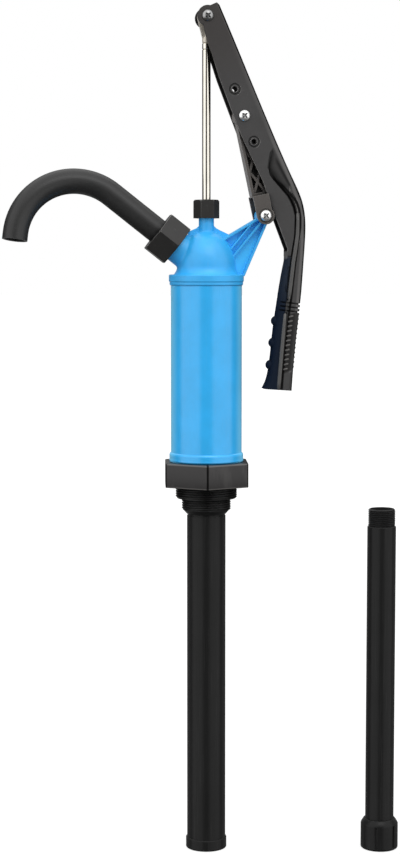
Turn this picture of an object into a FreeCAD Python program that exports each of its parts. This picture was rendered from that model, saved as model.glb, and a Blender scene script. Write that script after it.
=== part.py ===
import FreeCAD, Part
import math
import os

# Lever drum pump. Millimetres. The origin is the centre of the bung thread's seat, under the hex.
# +Z runs up the pump's axis, +X points to the lever and -X to the spout.

# Bung adapter
hex_across_flats = 80.6
hex_height = 23.5
hex_turn_deg = 25.6
hex_bevel = 0.9
large_thread_r = 30.15
large_thread_length = 12.4
small_thread_r = 24.1
small_thread_length = 11.8
thread_end_bevel = 0.8
tube_thread_r = 17.5
tube_thread_length = 12.2
foot_port_r = 13.0
foot_pocket_r = 20.05
foot_pocket_floor = -8.0
gasket_lip = 1.5
gasket_width = 3.5
gasket_thickness = 2.5

# Cylinder
cylinder_r = 34.7
cylinder_wall = 4.1
cylinder_length = 180.5
cylinder_spigot_r = 33.0
cylinder_spigot_length = 14.5
cylinder_flange_height = 9.3
cylinder_flange_rounding = 3.0
cylinder_flange_bow = 0.5
cylinder_flange_inset = 0.3
thread_gap = 0.05

# Suction tube
suction_r = 19.0
suction_wall = 3.5
suction_length = 335.5
suction_shoulder_r = 19.4
suction_shoulder_top_r = 22.6
suction_shoulder_height = 3.6
suction_groove_depth = 0.6
suction_groove_height = 2.0
collar_r = 20.15
collar_height = 10.9
collar_lip = 2.0
collar_rounding = 1.2
collar_bow = 0.35
socket_thread_r = 13.4
socket_thread_length = 22.0

# Loose extension tube, standing level with the suction tube's foot
extension_x = 171.5
extension_y = -20.0
extension_r = 14.1
extension_bore_r = 11.0
extension_height = 340.2
extension_thread_r = 13.33
extension_thread_length = 17.3
socket_r = 18.5
socket_height = 29.9
socket_taper_height = 4.0
socket_neck_r = 16.0
tube_seat_length = 10.0

# Pump head
collar_outer_r = 36.5
collar_depth = 10.5
collar_overlap = 8.2
collar_bevel = 0.8
collar_step = 0.7
collar_step_height = 3.4
seal_thickness = 1.3
dome_shoulder_r = 31.9
dome_r = 28.3
dome_foot_height = 8.6
dome_flare_bow = 0.9
dome_height = 34.0
dome_wall = 3.6
neck_r = 7.4
neck_root = 1.8
gusset = [(-18.0, 31.7), (-17.9, 41.0), (-14.8, 42.7), (-9.5, 44.9), (-7.0, 47.4), (7.0, 47.4), (9.5, 44.9),
          (13.5, 42.7), (21.6, 39.0), (21.0, 24.0)]
boss_fillet = 3.0
packing_r = 6.0
packing_height = 7.0
packing_pocket = 9.5
gland_washer_depth = 2.5
gland_hex = 22.0
gland_nut_height = 17.9
gland_nut_top = 278.6
gland_nut_lip = 3.0
gland_nut_bevel = 1.4
gland_nut_foot_bevel = 0.1
neck_below_nut_top = 5.3

# Bracket on the head. A root is measured from the axis and the collar's top, a tip from the pin.
bracket_flange = 2.2
bracket_web = 3.2
bracket_half_width = 9.5
ear_r = 7.6
bracket_top = ((14.0, 32.6), (-5.5, -2.6))
bracket_rib = ((23.2, 14.9), (-4.0, -6.9))
bracket_foot = ((35.3, -1.2), (1.8, -6.2))
bracket_web_root = (22.3, 0.0)

# Spout, along an axis that leaves the pump's axis at a slope
spout_rise_deg = 38.3
spout_axis_z = 210.7
spout_turn_deg = 8.0
boss_r = 15.3
boss_length = 49.3
spout_bore_r = 9.8
spout_nut_hex = 40.8
spout_nut_start = 36.9
spout_nut_length = 23.4
spout_nut_lip = 4.7
spout_nut_bevel = 1.2
spout_r = 12.2
spout_wall = 2.4
spout_flange_r = 14.9
spout_flange_thickness = 3.7
spout_gasket_thickness = 2.0
spout_gasket_inset = 1.0
spout_straight = 117.3
spout_bend_r = 57.9
spout_bend_deg = 121.0
spout_end_length = 6.6
run_gap = 0.3

# Linkage, at rest with the lever down and the rod up: lever and link are a knuckle's angle off straight
bracket_pin_x = 56.0
bracket_pin_z = 263.0
lever_arm = 101.0
link_length = 98.0
knuckle_deg = 8.45
stroke = 143.0
pin_r = 4.5
pin_gap = 0.1
screw_r = 2.5
screw_head_r = 5.2
screw_head_height = 2.8
screw_edge_height = 1.1
screw_edge_rounding = 0.9
screw_cross_width = 1.4
screw_cross_depth = 1.6
screw_tip = 5.0
screw_cross_arm = 3.1
face_gap = 0.4

# Lever, in its own axes: s runs from the rod's pin towards the link's pin, t points to the back
lever_half_width = 13.5
plate_thickness = 3.2
spine_thickness = 3.4
lever_boss_r = 9.9
lever_tip = (-8.6, 12.4)
lever_back = [(-5.2, 14.3), (71.4, 17.8), (133.4, 20.7), (175.3, 23.6), (197.0, 24.6), (212.5, 22.0),
              (233.3, 14.3), (250.9, 6.4), (286.1, -9.9), (321.0, -27.6), (345.0, -39.2), (366.4, -49.0)]
lever_flare_tip = (355.2, -73.8)
lever_flare = [(351.2, -69.3), (345.5, -64.8), (335.0, -58.6), (322.9, -52.4), (302.4, -42.2),
               (287.7, -34.1), (270.3, -24.4), (243.3, -8.0)]
lever_front = [(235.5, -5.0), (165.0, -5.3), (117.0, -9.7), (60.0, -10.2), (16.0, -8.4), (0.0, -6.0),
               (-8.0, 2.0)]
channel_end = 222.0
channel_corner = [(233.5, 6.0), (239.0, -9.0), (242.5, -30.0)]
channel_mouth = -30.0
back_rounding = 2.6
grip_rounding = 5.4
spare_hole_pitch = 26.7
spare_hole_r = 2.6
spare_rim_r = 3.9
spare_rim_height = 0.4
spare_dish_r = 5.7
spare_dish_depth = 0.9
scoop = [(138.8, 15.4), (148.0, 8.6), (156.5, 4.0), (172.0, 7.2), (187.5, 14.6), (178.0, 18.6)]
scoop_depth = 2.6
side_groove = [(160.0, 4.6), (172.0, 7.6), (187.5, 14.0), (206.0, 14.6), (226.7, 6.4), (250.2, -7.0),
               (281.1, -22.6), (325.0, -43.8), (372.0, -66.0)]
side_groove_r = 1.7
side_groove_lift = 0.3
fine_groove_r = 1.1
fine_groove_lift = 0.2
fine_groove_away = 3.5
grip_recess = [(236.0, -30.0), (241.0, -9.0), (247.0, -2.0), (250.2, -7.0), (281.1, -22.6), (325.0, -43.8),
               (380.0, -70.0), (380.0, -100.0)]
grip_recess_depth = 0.8
grip_lean_deg = 27.5
ring_groove_at = (284.0, -22.3)
ring_groove_front = 10.3
ring_groove_back = 12.2
ring_groove_count = 3
ring_groove_pitch = 3.9
ring_groove_width = 1.5
ring_groove_depth = 1.1
ring_groove_side_depth = 1.9
finger_bumps_at = [(298.2, -37.9), (317.3, -47.7), (336.7, -57.9)]
finger_bump_r = 5.0
finger_bump_half_length = 4.6

# Link
link_half_height = 8.2
link_half_width = 9.8
link_flange = 2.6
link_web = 3.0
link_rib = 2.2
link_rib_inset = 1.0
link_bay_count = 3
link_bay_start = 12.0
link_top_r = 9.6
fork_cheek = 4.0
fork_cheek_r = 8.4
fork_cheek_top = 7.0
fork_bridge_start = 77.5
fork_bridge_length = 3.4
fork_bridge_foot = -5.0
fork_bridge_top = 4.6
fork_ring_r = 6.9
fork_ring_width = 0.9
fork_ring_depth = 0.5

# Piston rod and piston
rod_r = 4.1
rod_gap = 0.5
rod_thread_r = 2.5
rod_joint_below_pin = 30.9
lock_ring_height = 6.0
rod_joint_bevel = 0.6
rod_thread_end = 5.0
eye_r = 8.6
eye_half_width = 5.0
eye_taper_length = 19.0
eye_taper_half_width = 3.6
eye_taper_top_r = 8.3
eye_taper_top = 2.4
spacer_wall = 2.2
piston_foot_clearance = 7.5
piston_height = 14.0
piston_gap = 0.7
piston_groove_depth = 4.0
seal_height = 6.0
piston_port_r = 3.5
piston_port_count = 6
piston_port_circle_r = 19.0
piston_nut_hex = 17.0
piston_nut_height = 7.0
valve_lift = 3.0
valve_thickness = 2.4
valve_r = 24.0
stop_r = 14.0
stop_thickness = 2.0

# Foot valve
ball_r = 9.5
seat_hole_r = 7.5
seat_thickness = 4.0
ball_lift = 5.0
cage_r = 13.5
cage_root = 1.0
cage_leg_width = 4.0
cage_leg_count = 3
cage_base_height = 3.0
cage_top_thickness = 3.0
cage_hole_r = 7.0
leg_gap = 0.6

# Places that follow from the sizes
gasket_bore_r = large_thread_r + gasket_lip
cylinder_flange_r = collar_outer_r - cylinder_flange_inset
knuckle_cosine = math.cos(math.radians(knuckle_deg))
linkage_reach = math.sqrt(lever_arm ** 2 + link_length ** 2 + 2 * lever_arm * link_length * knuckle_cosine)
rod_pin_z = bracket_pin_z + math.sqrt(linkage_reach ** 2 - bracket_pin_x ** 2)
thread_foot = -large_thread_length - small_thread_length
foot_z = thread_foot - suction_shoulder_height - suction_length
extension_top = foot_z + extension_height
cylinder_foot = hex_height - cylinder_spigot_length
cylinder_top = hex_height + cylinder_length
cylinder_bore_r = cylinder_r - cylinder_wall
piston_top = hex_height + piston_foot_clearance + stroke + piston_nut_height + piston_height
head_floor = cylinder_top + seal_thickness
collar_foot = cylinder_top - collar_overlap
collar_top = collar_foot + collar_depth
neck_top = gland_nut_top - neck_below_nut_top
fork_inner = lever_half_width + face_gap
fork_outer = fork_inner + fork_cheek
ear_half_width = fork_inner - face_gap
piston_r = cylinder_bore_r - piston_gap
seal_low = piston_top - (piston_height + seal_height) / 2
past = 40.0
touch = 0.01


def vec(x, y, z):
    return FreeCAD.Vector(x, y, z)


def rod(r, low, high, x=0.0, y=0.0):
    """An upright round bar."""
    return Part.makeCylinder(r, high - low, vec(x, y, low))


def ring(outer, inner, low, high):
    """An upright tube."""
    return rod(outer, low, high).cut(rod(inner, low - 1, high + 1))


def cross_rod(r, near, far, x=0.0, z=0.0):
    """A round bar along Y."""
    return Part.makeCylinder(r, far - near, vec(x, near, z), vec(0, 1, 0))


def block(low, high):
    return Part.makeBox(high[0] - low[0], high[1] - low[1], high[2] - low[2], vec(*low))


def hexagon(across_flats, low, high, turn_deg=0.0):
    """An upright hexagonal prism with a corner at the given angle."""
    corner_r = across_flats / math.sqrt(3)
    angles = [math.radians(turn_deg + 60 * side) for side in range(7)]
    points = [vec(corner_r * math.cos(a), corner_r * math.sin(a), low) for a in angles]
    return Part.Face(Part.makePolygon(points)).extrude(vec(0, 0, high - low))


def curve_through(points):
    curve = Part.BSplineCurve()
    curve.interpolate(points)
    return curve.toShape()


def bowed(start, end, bow):
    """The move of an arc that stands off its chord by bow, to the left of the way to its end."""
    (x0, z0), (x1, z1) = start, end
    length = math.hypot(x1 - x0, z1 - z0)
    return [((x0 + x1) / 2 - bow * (z1 - z0) / length, (z0 + z1) / 2 + bow * (x1 - x0) / length), end]


def outline(start, *moves):
    """A closed outline in XZ. A move is one point for a line, two for an arc, three or more for a curve."""
    here = vec(start[0], 0, start[1])
    edges = []
    for move in moves + ([start],):
        points = [vec(x, 0, z) for x, z in move]
        if len(points) == 1:
            edge = Part.makeLine(here, points[0])
        elif len(points) == 2:
            edge = Part.Arc(here, points[0], points[1]).toShape()
        else:
            edge = curve_through([here] + points)
        edges.append(edge)
        here = points[-1]
    return Part.Wire(edges)


def corners(start, *points):
    """A closed outline of straight lines."""
    return outline(start, *[[point] for point in points])


def plate(wire, half_width):
    """A solid of an XZ outline, as wide on each side of the middle plane."""
    solid = Part.Face(wire).extrude(vec(0, 2 * half_width, 0))
    solid.translate(vec(0, -half_width, 0))
    return solid


def turned(wire):
    """A solid turned about Z from an XZ outline."""
    return Part.Face(wire).revolve(vec(0, 0, 0), vec(0, 0, 1), 360)


def fused(first, others):
    return first.fuse(others).removeSplitter()


def mirrored(solid):
    """A solid with its reflection in the middle plane."""
    return [solid, solid.mirror(vec(0, 0, 0), vec(0, 1, 0))]


def around(solid, count, start_deg=0.0):
    """Copies of a solid, evenly turned about Z."""
    copies = []
    for number in range(count):
        copy = solid.copy()
        copy.rotate(vec(0, 0, 0), vec(0, 0, 1), start_deg + 360 * number / count)
        copies.append(copy)
    return copies


def place(solid, x, z, turn_deg):
    """Turns a solid about Y and moves it."""
    placed = solid.copy()
    placed.rotate(vec(0, 0, 0), vec(0, 1, 0), turn_deg)
    placed.translate(vec(x, 0, z))
    return placed


def link_pin_place():
    """Where two circles meet on the lever's outer side: the arm about the rod's pin, the link about its foot."""
    down = bracket_pin_z - rod_pin_z
    along = (lever_arm ** 2 - link_length ** 2 + linkage_reach ** 2) / (2 * linkage_reach)
    aside = math.sqrt(lever_arm ** 2 - along ** 2)
    x = (along * bracket_pin_x - aside * down) / linkage_reach
    z = rod_pin_z + (along * down + aside * bracket_pin_x) / linkage_reach
    return x, z


link_pin_x, link_pin_z = link_pin_place()
lever_turn = math.degrees(math.atan2(rod_pin_z - link_pin_z, link_pin_x))
link_turn = math.degrees(math.atan2(link_pin_z - bracket_pin_z, bracket_pin_x - link_pin_x))


def on_lever(solid):
    return place(solid, 0, rod_pin_z, lever_turn)


def on_link(solid):
    return place(solid, link_pin_x, link_pin_z, link_turn)


def along_spout(solid):
    """Turns a solid from +Z to the spout's axis."""
    return place(solid, 0, spout_axis_z, spout_rise_deg - 90)


def crown(corner_r, low, high, low_bevel, high_bevel):
    """A bar with bevelled ends, to take the sharp corners off a hexagon."""
    return turned(corners((0, low), (corner_r - low_bevel, low), (corner_r, low + low_bevel),
                          (corner_r, high - high_bevel), (corner_r - high_bevel, high), (0, high)))


def bung_adapter():
    corner_r = hex_across_flats / math.sqrt(3)
    body = hexagon(hex_across_flats, 0, hex_height, hex_turn_deg)
    body = body.common(crown(corner_r, 0, hex_height, hex_bevel, hex_bevel))
    bevel = thread_end_bevel
    threads = turned(corners(
        (0, thread_foot), (small_thread_r - bevel, thread_foot), (small_thread_r, thread_foot + bevel),
        (small_thread_r, -large_thread_length), (large_thread_r - bevel, -large_thread_length),
        (large_thread_r, bevel - large_thread_length), (large_thread_r, 1), (0, 1)))
    body = fused(body, [threads])
    body = body.cut(ring(gasket_bore_r + gasket_width + thread_gap, gasket_bore_r, 0, gasket_thickness))
    body = body.cut(rod(cylinder_spigot_r + thread_gap, cylinder_foot, hex_height + 1))
    body = body.cut(rod(foot_pocket_r, foot_pocket_floor, hex_height))
    body = body.cut(rod(foot_port_r, thread_foot - 1, hex_height))
    return body.cut(rod(tube_thread_r + thread_gap, thread_foot - 1, thread_foot + tube_thread_length))


def adapter_gasket():
    """A flat ring in the groove under the hex."""
    return ring(gasket_bore_r + gasket_width, gasket_bore_r + thread_gap, 0, gasket_thickness)


def cylinder():
    flange_top = hex_height + cylinder_flange_height
    flange_foot_r = (cylinder_r + cylinder_flange_r) / 2
    low = (cylinder_flange_r, hex_height + cylinder_flange_rounding)
    high = (cylinder_flange_r, flange_top - cylinder_flange_rounding)
    return turned(outline(
        (cylinder_bore_r, cylinder_foot), [(cylinder_spigot_r, cylinder_foot)],
        [(cylinder_spigot_r, hex_height)], [(flange_foot_r, hex_height)],
        bowed((flange_foot_r, hex_height), low, -cylinder_flange_bow), [high],
        bowed(high, (cylinder_r, flange_top), -cylinder_flange_bow), [(cylinder_r, cylinder_top)],
        [(cylinder_bore_r, cylinder_top)]))


def suction_tube():
    shoulder_foot = thread_foot - suction_shoulder_height
    groove_foot = shoulder_foot - suction_groove_height
    groove_r = suction_r - suction_groove_depth
    bore_r = suction_r - suction_wall
    return turned(corners(
        (bore_r, foot_z + collar_lip), (suction_r, foot_z + collar_lip), (suction_r, groove_foot),
        (groove_r, groove_foot), (groove_r, shoulder_foot), (suction_shoulder_r, shoulder_foot),
        (suction_shoulder_top_r, thread_foot), (tube_thread_r, thread_foot),
        (tube_thread_r, thread_foot + tube_thread_length), (bore_r, thread_foot + tube_thread_length)))


def suction_collar():
    """A cap of U section over the tube's foot, with the female thread inside."""
    bore_r = suction_r - suction_wall - thread_gap
    outside_r = suction_r + thread_gap
    top = foot_z + collar_height
    round_foot = (collar_r - collar_rounding, foot_z)
    return turned(outline(
        (socket_thread_r, foot_z), [round_foot],
        bowed(round_foot, (collar_r, foot_z + collar_rounding), -collar_bow),
        [(collar_r, top - collar_bevel)], [(collar_r - collar_bevel, top)], [(outside_r, top)],
        [(outside_r, foot_z + collar_lip)], [(bore_r, foot_z + collar_lip)],
        [(bore_r, foot_z + socket_thread_length)], [(socket_thread_r, foot_z + socket_thread_length)]))


def extension_tube():
    seat = foot_z + socket_height - tube_seat_length
    shoulder = extension_top - extension_thread_length
    tube = turned(corners(
        (extension_bore_r, seat), (extension_r, seat), (extension_r, shoulder),
        (extension_thread_r, shoulder), (extension_thread_r, extension_top), (extension_bore_r, extension_top)))
    tube.translate(vec(extension_x, extension_y, 0))
    return tube


def extension_socket():
    top = foot_z + socket_height
    seat_r = extension_r + thread_gap
    socket = turned(corners(
        (socket_thread_r, foot_z), (socket_r, foot_z), (socket_r, top - socket_taper_height),
        (socket_neck_r, top), (seat_r, top), (seat_r, top - tube_seat_length),
        (socket_thread_r, top - tube_seat_length)))
    socket.translate(vec(extension_x, extension_y, 0))
    return socket


def dome_side(r, height):
    """Points up the side of a half ellipse that stands on the dome's foot, at every 15 degrees but the last."""
    foot = collar_top + dome_foot_height
    angles = [math.radians(angle) for angle in range(15, 76, 15)]
    return [(r * math.cos(angle), foot + height * math.sin(angle)) for angle in angles]


def dome():
    """The head's turned body, solid inside: stepped collar, flared foot, domed top and neck."""
    root_r = neck_r + neck_root
    crown_z = collar_top + dome_foot_height
    root_z = crown_z + dome_height * math.sqrt(1 - (root_r / dome_r) ** 2)
    step_r = collar_outer_r - collar_step
    step_z = collar_foot + collar_step_height
    corner = neck_root * (1 - math.sqrt(0.5))
    side = [point for point in dome_side(dome_r, dome_height) if point[0] > root_r + 1]
    return turned(outline(
        (0, collar_foot), [(step_r - collar_bevel, collar_foot)], [(step_r, collar_foot + collar_bevel)],
        [(step_r, step_z)], [(collar_outer_r, step_z + collar_step)],
        [(collar_outer_r, collar_top - collar_bevel)],
        [(collar_outer_r - collar_bevel, collar_top)], [(dome_shoulder_r, collar_top)],
        bowed((dome_shoulder_r, collar_top), (dome_r, crown_z), dome_flare_bow), side + [(root_r, root_z)],
        [(neck_r + corner, root_z + corner), (neck_r, root_z + neck_root)],
        [(neck_r, neck_top)], [(0, neck_top)]))


def dome_hollow():
    inner_r = dome_r - dome_wall
    inner_height = dome_height - dome_wall
    foot = collar_top + dome_foot_height
    return turned(outline(
        (0, head_floor - 1), [(inner_r, head_floor - 1)], [(inner_r, foot)],
        dome_side(inner_r, inner_height) + [(0, foot + inner_height)]))


def head_shell():
    """The dome with the spout's boss, rounded where they meet."""
    body = fused(dome(), [along_spout(rod(boss_r, 0, boss_length))])
    axis = vec(-math.cos(math.radians(spout_rise_deg)), 0, math.sin(math.radians(spout_rise_deg)))
    foot = vec(0, 0, spout_axis_z)
    seam = []
    for edge in body.Edges:
        offsets = [edge.valueAt(t) - foot for t in edge.ParameterRange]
        spots = [(offset.cross(axis).Length, offset.dot(axis)) for offset in offsets]
        if all(abs(away - boss_r) < touch and along < boss_length - touch for away, along in spots):
            seam.append(edge)
    return body.makeFillet(boss_fillet, seam)


def bracket():
    """The ribbed arm that carries the link: a thin web with three cross flanges, and the ear's barrel."""
    ends = []
    for (root_x, root_z), (tip_x, tip_z) in (bracket_top, bracket_foot, bracket_rib):
        ends.append(((root_x, collar_top + root_z), (bracket_pin_x + tip_x, bracket_pin_z + tip_z)))
    top, foot = ends[:2]
    inner = (bracket_web_root[0], collar_top + bracket_web_root[1])
    web = plate(corners(top[0], top[1], foot[1], foot[0], inner), bracket_web / 2)
    rise = plate(corners(*[(x, collar_top + z) for x, z in gusset]), bracket_web / 2)
    flanges = []
    for (x0, z0), (x1, z1) in ends:
        strip = block((0, -bracket_half_width, -bracket_flange / 2),
                      (math.hypot(x1 - x0, z1 - z0), bracket_half_width, bracket_flange / 2))
        flanges.append(place(strip, x0, z0, -math.degrees(math.atan2(z1 - z0, x1 - x0))))
    ear = cross_rod(ear_r, -ear_half_width, ear_half_width, bracket_pin_x, bracket_pin_z)
    return fused(web, [rise] + flanges + [ear])


def pump_head():
    body = fused(head_shell(), [bracket()])
    body = body.cut(dome_hollow())
    body = body.cut(along_spout(rod(spout_bore_r, 0, boss_length + 1)))
    body = body.cut(rod(cylinder_r + thread_gap, collar_foot - 1, head_floor))
    body = body.cut(rod(rod_r + rod_gap, head_floor, neck_top + 1))
    body = body.cut(rod(packing_r, neck_top - packing_pocket, neck_top + 1))
    return body.cut(cross_rod(pin_r, -past, past, bracket_pin_x, bracket_pin_z))


def head_seal():
    return ring(cylinder_r, cylinder_bore_r, cylinder_top, head_floor)


def gland_packing():
    low = neck_top - packing_pocket
    return ring(packing_r - thread_gap, rod_r + pin_gap, low, low + packing_height)


def gland_washer():
    return ring(packing_r - thread_gap, rod_r + pin_gap, neck_top - gland_washer_depth,
                gland_nut_top - gland_nut_lip)


def gland_nut():
    foot = gland_nut_top - gland_nut_height
    nut = hexagon(gland_hex, foot, gland_nut_top)
    nut = nut.common(crown(gland_hex / math.sqrt(3), foot, gland_nut_top, gland_nut_foot_bevel,
                           gland_nut_bevel))
    nut = nut.cut(rod(neck_r + thread_gap, foot - 1, gland_nut_top - gland_nut_lip))
    return nut.cut(rod(rod_r + rod_gap, foot, gland_nut_top + 1))


def spout_nut():
    end = spout_nut_start + spout_nut_length
    nut = hexagon(spout_nut_hex, spout_nut_start, end, 30)
    nut = nut.common(crown(spout_nut_hex / math.sqrt(3), spout_nut_start, end, spout_nut_bevel, spout_nut_bevel))
    nut = nut.cut(rod(boss_r + thread_gap, spout_nut_start - 1, end - spout_nut_lip))
    return along_spout(nut.cut(rod(spout_r + face_gap, spout_nut_start, end + 1)))


def spout_gasket():
    return along_spout(ring(boss_r - spout_gasket_inset, spout_bore_r, boss_length,
                            boss_length + spout_gasket_thickness))


def spout():
    """The bent outlet tube, made along +Z with its bend in XZ, then laid on the spout's axis."""
    start = boss_length + spout_gasket_thickness + run_gap
    bore_r = spout_r - spout_wall
    straight = ring(spout_r, bore_r, start, spout_straight)
    flange = ring(spout_flange_r, bore_r, start, start + spout_flange_thickness)
    bend_start = vec(0, 0, spout_straight)
    bend_centre = vec(-spout_bend_r, 0, spout_straight)
    section = Part.Face([Part.Wire(Part.makeCircle(r, bend_start, vec(0, 0, 1))) for r in (spout_r, bore_r)])
    bend = section.revolve(bend_centre, vec(0, -1, 0), spout_bend_deg)
    end = ring(spout_r, bore_r, spout_straight, spout_straight + spout_end_length)
    end.rotate(bend_centre, vec(0, -1, 0), spout_bend_deg)
    tube = fused(straight, [flange, bend, end])
    tube.rotate(vec(0, 0, 0), vec(0, 0, 1), spout_turn_deg)
    return along_spout(tube)


def piston_rod():
    low = piston_top - piston_height - piston_nut_height
    joint = rod_pin_z - rod_joint_below_pin
    return turned(corners(
        (0, low), (rod_r, low), (rod_r, joint - rod_joint_bevel), (rod_r - rod_joint_bevel, joint),
        (rod_thread_r, joint), (rod_thread_r, joint + lock_ring_height + rod_thread_end),
        (0, joint + lock_ring_height + rod_thread_end)))


def rod_lock_ring():
    low = rod_pin_z - rod_joint_below_pin
    high = low + lock_ring_height
    neck = rod_r - rod_joint_bevel
    return turned(corners(
        (rod_thread_r + thread_gap, low), (neck, low), (rod_r, low + rod_joint_bevel),
        (rod_r, high - rod_joint_bevel), (neck, high), (rod_thread_r + thread_gap, high)))


def rod_eye():
    low = rod_pin_z - rod_joint_below_pin + lock_ring_height
    shank = turned(corners((0, low), (rod_r - rod_joint_bevel, low), (rod_r, low + rod_joint_bevel),
                           (rod_r, rod_pin_z - eye_r), (0, rod_pin_z - eye_r)))
    barrel = cross_rod(eye_r, -eye_half_width, eye_half_width, 0, rod_pin_z)
    taper = plate(corners((-rod_r, rod_pin_z - eye_taper_length), (rod_r, rod_pin_z - eye_taper_length),
                          (eye_taper_top_r, rod_pin_z - eye_taper_top),
                          (-eye_taper_top_r, rod_pin_z - eye_taper_top)), eye_taper_half_width)
    eye = fused(shank, [barrel, taper])
    eye = eye.cut(rod(rod_thread_r + thread_gap, low, low + rod_thread_end + thread_gap))
    return eye.cut(cross_rod(pin_r + pin_gap, -past, past, 0, rod_pin_z))


def rod_spacers():
    inner = lever_half_width - plate_thickness
    spacer = cross_rod(pin_r + spacer_wall, -inner, -eye_half_width - face_gap, 0, rod_pin_z)
    return Part.makeCompound(mirrored(spacer.cut(cross_rod(pin_r, -past, past, 0, rod_pin_z))))


def pivot_pin(half_length, x, z):
    """A barrel with a tapped bore through it."""
    barrel = cross_rod(pin_r, -half_length, half_length, x, z)
    return barrel.cut(cross_rod(screw_r, -half_length - 1, half_length + 1, x, z))


def screw_pair(seat, tip, x, z):
    """Two pan-head screws, one from each side, with heads outside the seat and shanks in to the tip."""
    head = turned(outline((0, 0), [(screw_head_r, 0)], [(screw_head_r, screw_edge_height)],
                          [(screw_head_r - screw_edge_rounding, screw_edge_height + screw_edge_rounding),
                           (0, screw_head_height)]))
    slot = block((-screw_cross_arm, -screw_cross_width / 2, screw_head_height - screw_cross_depth),
                 (screw_cross_arm, screw_cross_width / 2, screw_head_height + 1))
    for cut in around(slot, 4, 45)[:2]:
        head = head.cut(cut)
    screw = fused(head, [rod(screw_r - thread_gap, tip - seat, 0.5)])
    screw.rotate(vec(0, 0, 0), vec(1, 0, 0), 90)
    screw.translate(vec(x, -seat, z))
    return Part.makeCompound(mirrored(screw))


def piston():
    low = piston_top - piston_height
    body = ring(piston_r, rod_r + thread_gap, low, piston_top)
    body = body.cut(ring(piston_r + 1, piston_r - piston_groove_depth, seal_low, seal_low + seal_height))
    port = rod(piston_port_r, low - 1, piston_top + 1, piston_port_circle_r)
    for hole in around(port, piston_port_count):
        body = body.cut(hole)
    return body


def piston_seal():
    groove_r = piston_r - piston_groove_depth + thread_gap
    return ring(cylinder_bore_r - pin_gap, groove_r, seal_low + thread_gap, seal_low + seal_height - thread_gap)


def piston_nut():
    low = piston_top - piston_height - piston_nut_height
    return hexagon(piston_nut_hex, low, low + piston_nut_height).cut(rod(rod_r + thread_gap, low - 1, piston_top))


def piston_valve():
    low = piston_top + run_gap
    return ring(valve_r, rod_r + face_gap, low, low + valve_thickness)


def valve_stop():
    low = piston_top + 2 * run_gap + valve_thickness + valve_lift
    return ring(stop_r, rod_r + thread_gap, low, low + stop_thickness)


def foot_valve_seat():
    return ring(foot_pocket_r - thread_gap, seat_hole_r, foot_pocket_floor, foot_pocket_floor + seat_thickness)


def ball_centre():
    rest = math.sqrt(ball_r ** 2 - seat_hole_r ** 2)
    return foot_pocket_floor + seat_thickness + rest + run_gap


def foot_valve_ball():
    return Part.makeSphere(ball_r, vec(0, 0, ball_centre()))


def foot_valve_cage():
    low = foot_pocket_floor + seat_thickness
    roof = ball_centre() + ball_r + ball_lift + run_gap
    base = ring(foot_pocket_r - thread_gap, cage_r - cage_root, low, low + cage_base_height)
    top = ring(cage_r, cage_hole_r, roof, roof + cage_top_thickness)
    leg = block((ball_r + leg_gap, -cage_leg_width / 2, low), (cage_r, cage_leg_width / 2, roof + 1))
    return fused(base, around(leg, cage_leg_count, 60) + [top])


def lever_blank():
    """The lever's whole side outline as a solid, with rounded back and grip."""
    blank = plate(outline(lever_tip, [lever_back[0]], lever_back[1:], [lever_flare_tip], lever_flare,
                          *[[point] for point in lever_front]), lever_half_width)
    blank = blank.makeFillet(grip_rounding, edges_at(blank, lever_flare[4]))
    return blank.makeFillet(back_rounding, edges_at(blank, lever_back[5]))


def edges_at(blank, point):
    """The long edges of the lever's two sides that pass over a point of its outline."""
    found = []
    for side in (-lever_half_width, lever_half_width):
        spot = Part.Vertex(vec(point[0], side, point[1]))
        found += [edge for edge in blank.Edges if edge.distToShape(spot)[0] < touch]
    return found


def channel():
    """The open space between the plates, under the spine."""
    roof = [(s, t - spine_thickness) for s, t in lever_back if s < channel_end]
    start = (-past, roof[0][1])
    return plate(outline(start, [roof[0]], roof[1:] + [channel_corner[0]], [channel_corner[1]],
                         [channel_corner[2]], [(-past, channel_mouth)]), lever_half_width - plate_thickness)


def side_relief(points, depth):
    """A shallow recess in both sides of the lever."""
    wire = outline(points[0], points[1:])
    floor = Part.Face(wire)
    floor.translate(vec(0, -lever_half_width + depth, 0))
    return mirrored(floor.extrude(vec(0, -past, 0)))


def scoop_relief():
    """The hollow above the side groove: deep along its front edge and running out at the back."""
    floor = Part.Face(outline(scoop[0], scoop[1:4], [scoop[4]], [scoop[5]]))
    floor.translate(vec(0, -lever_half_width, 0))
    hinge = vec(scoop[0][0], -lever_half_width, scoop[0][1])
    along = vec(scoop[5][0] - scoop[0][0], 0, scoop[5][1] - scoop[0][1])
    reach = abs((scoop[2][0] - scoop[0][0]) * along.z - (scoop[2][1] - scoop[0][1]) * along.x) / along.Length
    floor.rotate(hinge, along, math.degrees(math.atan2(scoop_depth, reach)))
    return mirrored(floor.extrude(vec(0, -past, 0)))


def groove_relief(points, r, lift):
    """A groove of round section along points of both sides."""
    y = -lever_half_width - lift
    (s0, t0), (s1, t1) = points[:2]
    path = curve_through([vec(s, y, t) for s, t in points])
    circle = Part.Wire(Part.makeCircle(r, vec(s0, y, t0), vec(s1 - s0, 0, t1 - t0)))
    return mirrored(Part.Wire(path).makePipeShell([circle], True, False))


def beside(points, distance):
    """Points as far to the back of a line's inner points."""
    found = []
    for (s0, t0), (s, t), (s1, t1) in zip(points, points[1:], points[2:]):
        length = math.hypot(s1 - s0, t1 - t0)
        found.append((s - distance * (t1 - t0) / length, t + distance * (s1 - s0) / length))
    return found


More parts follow.
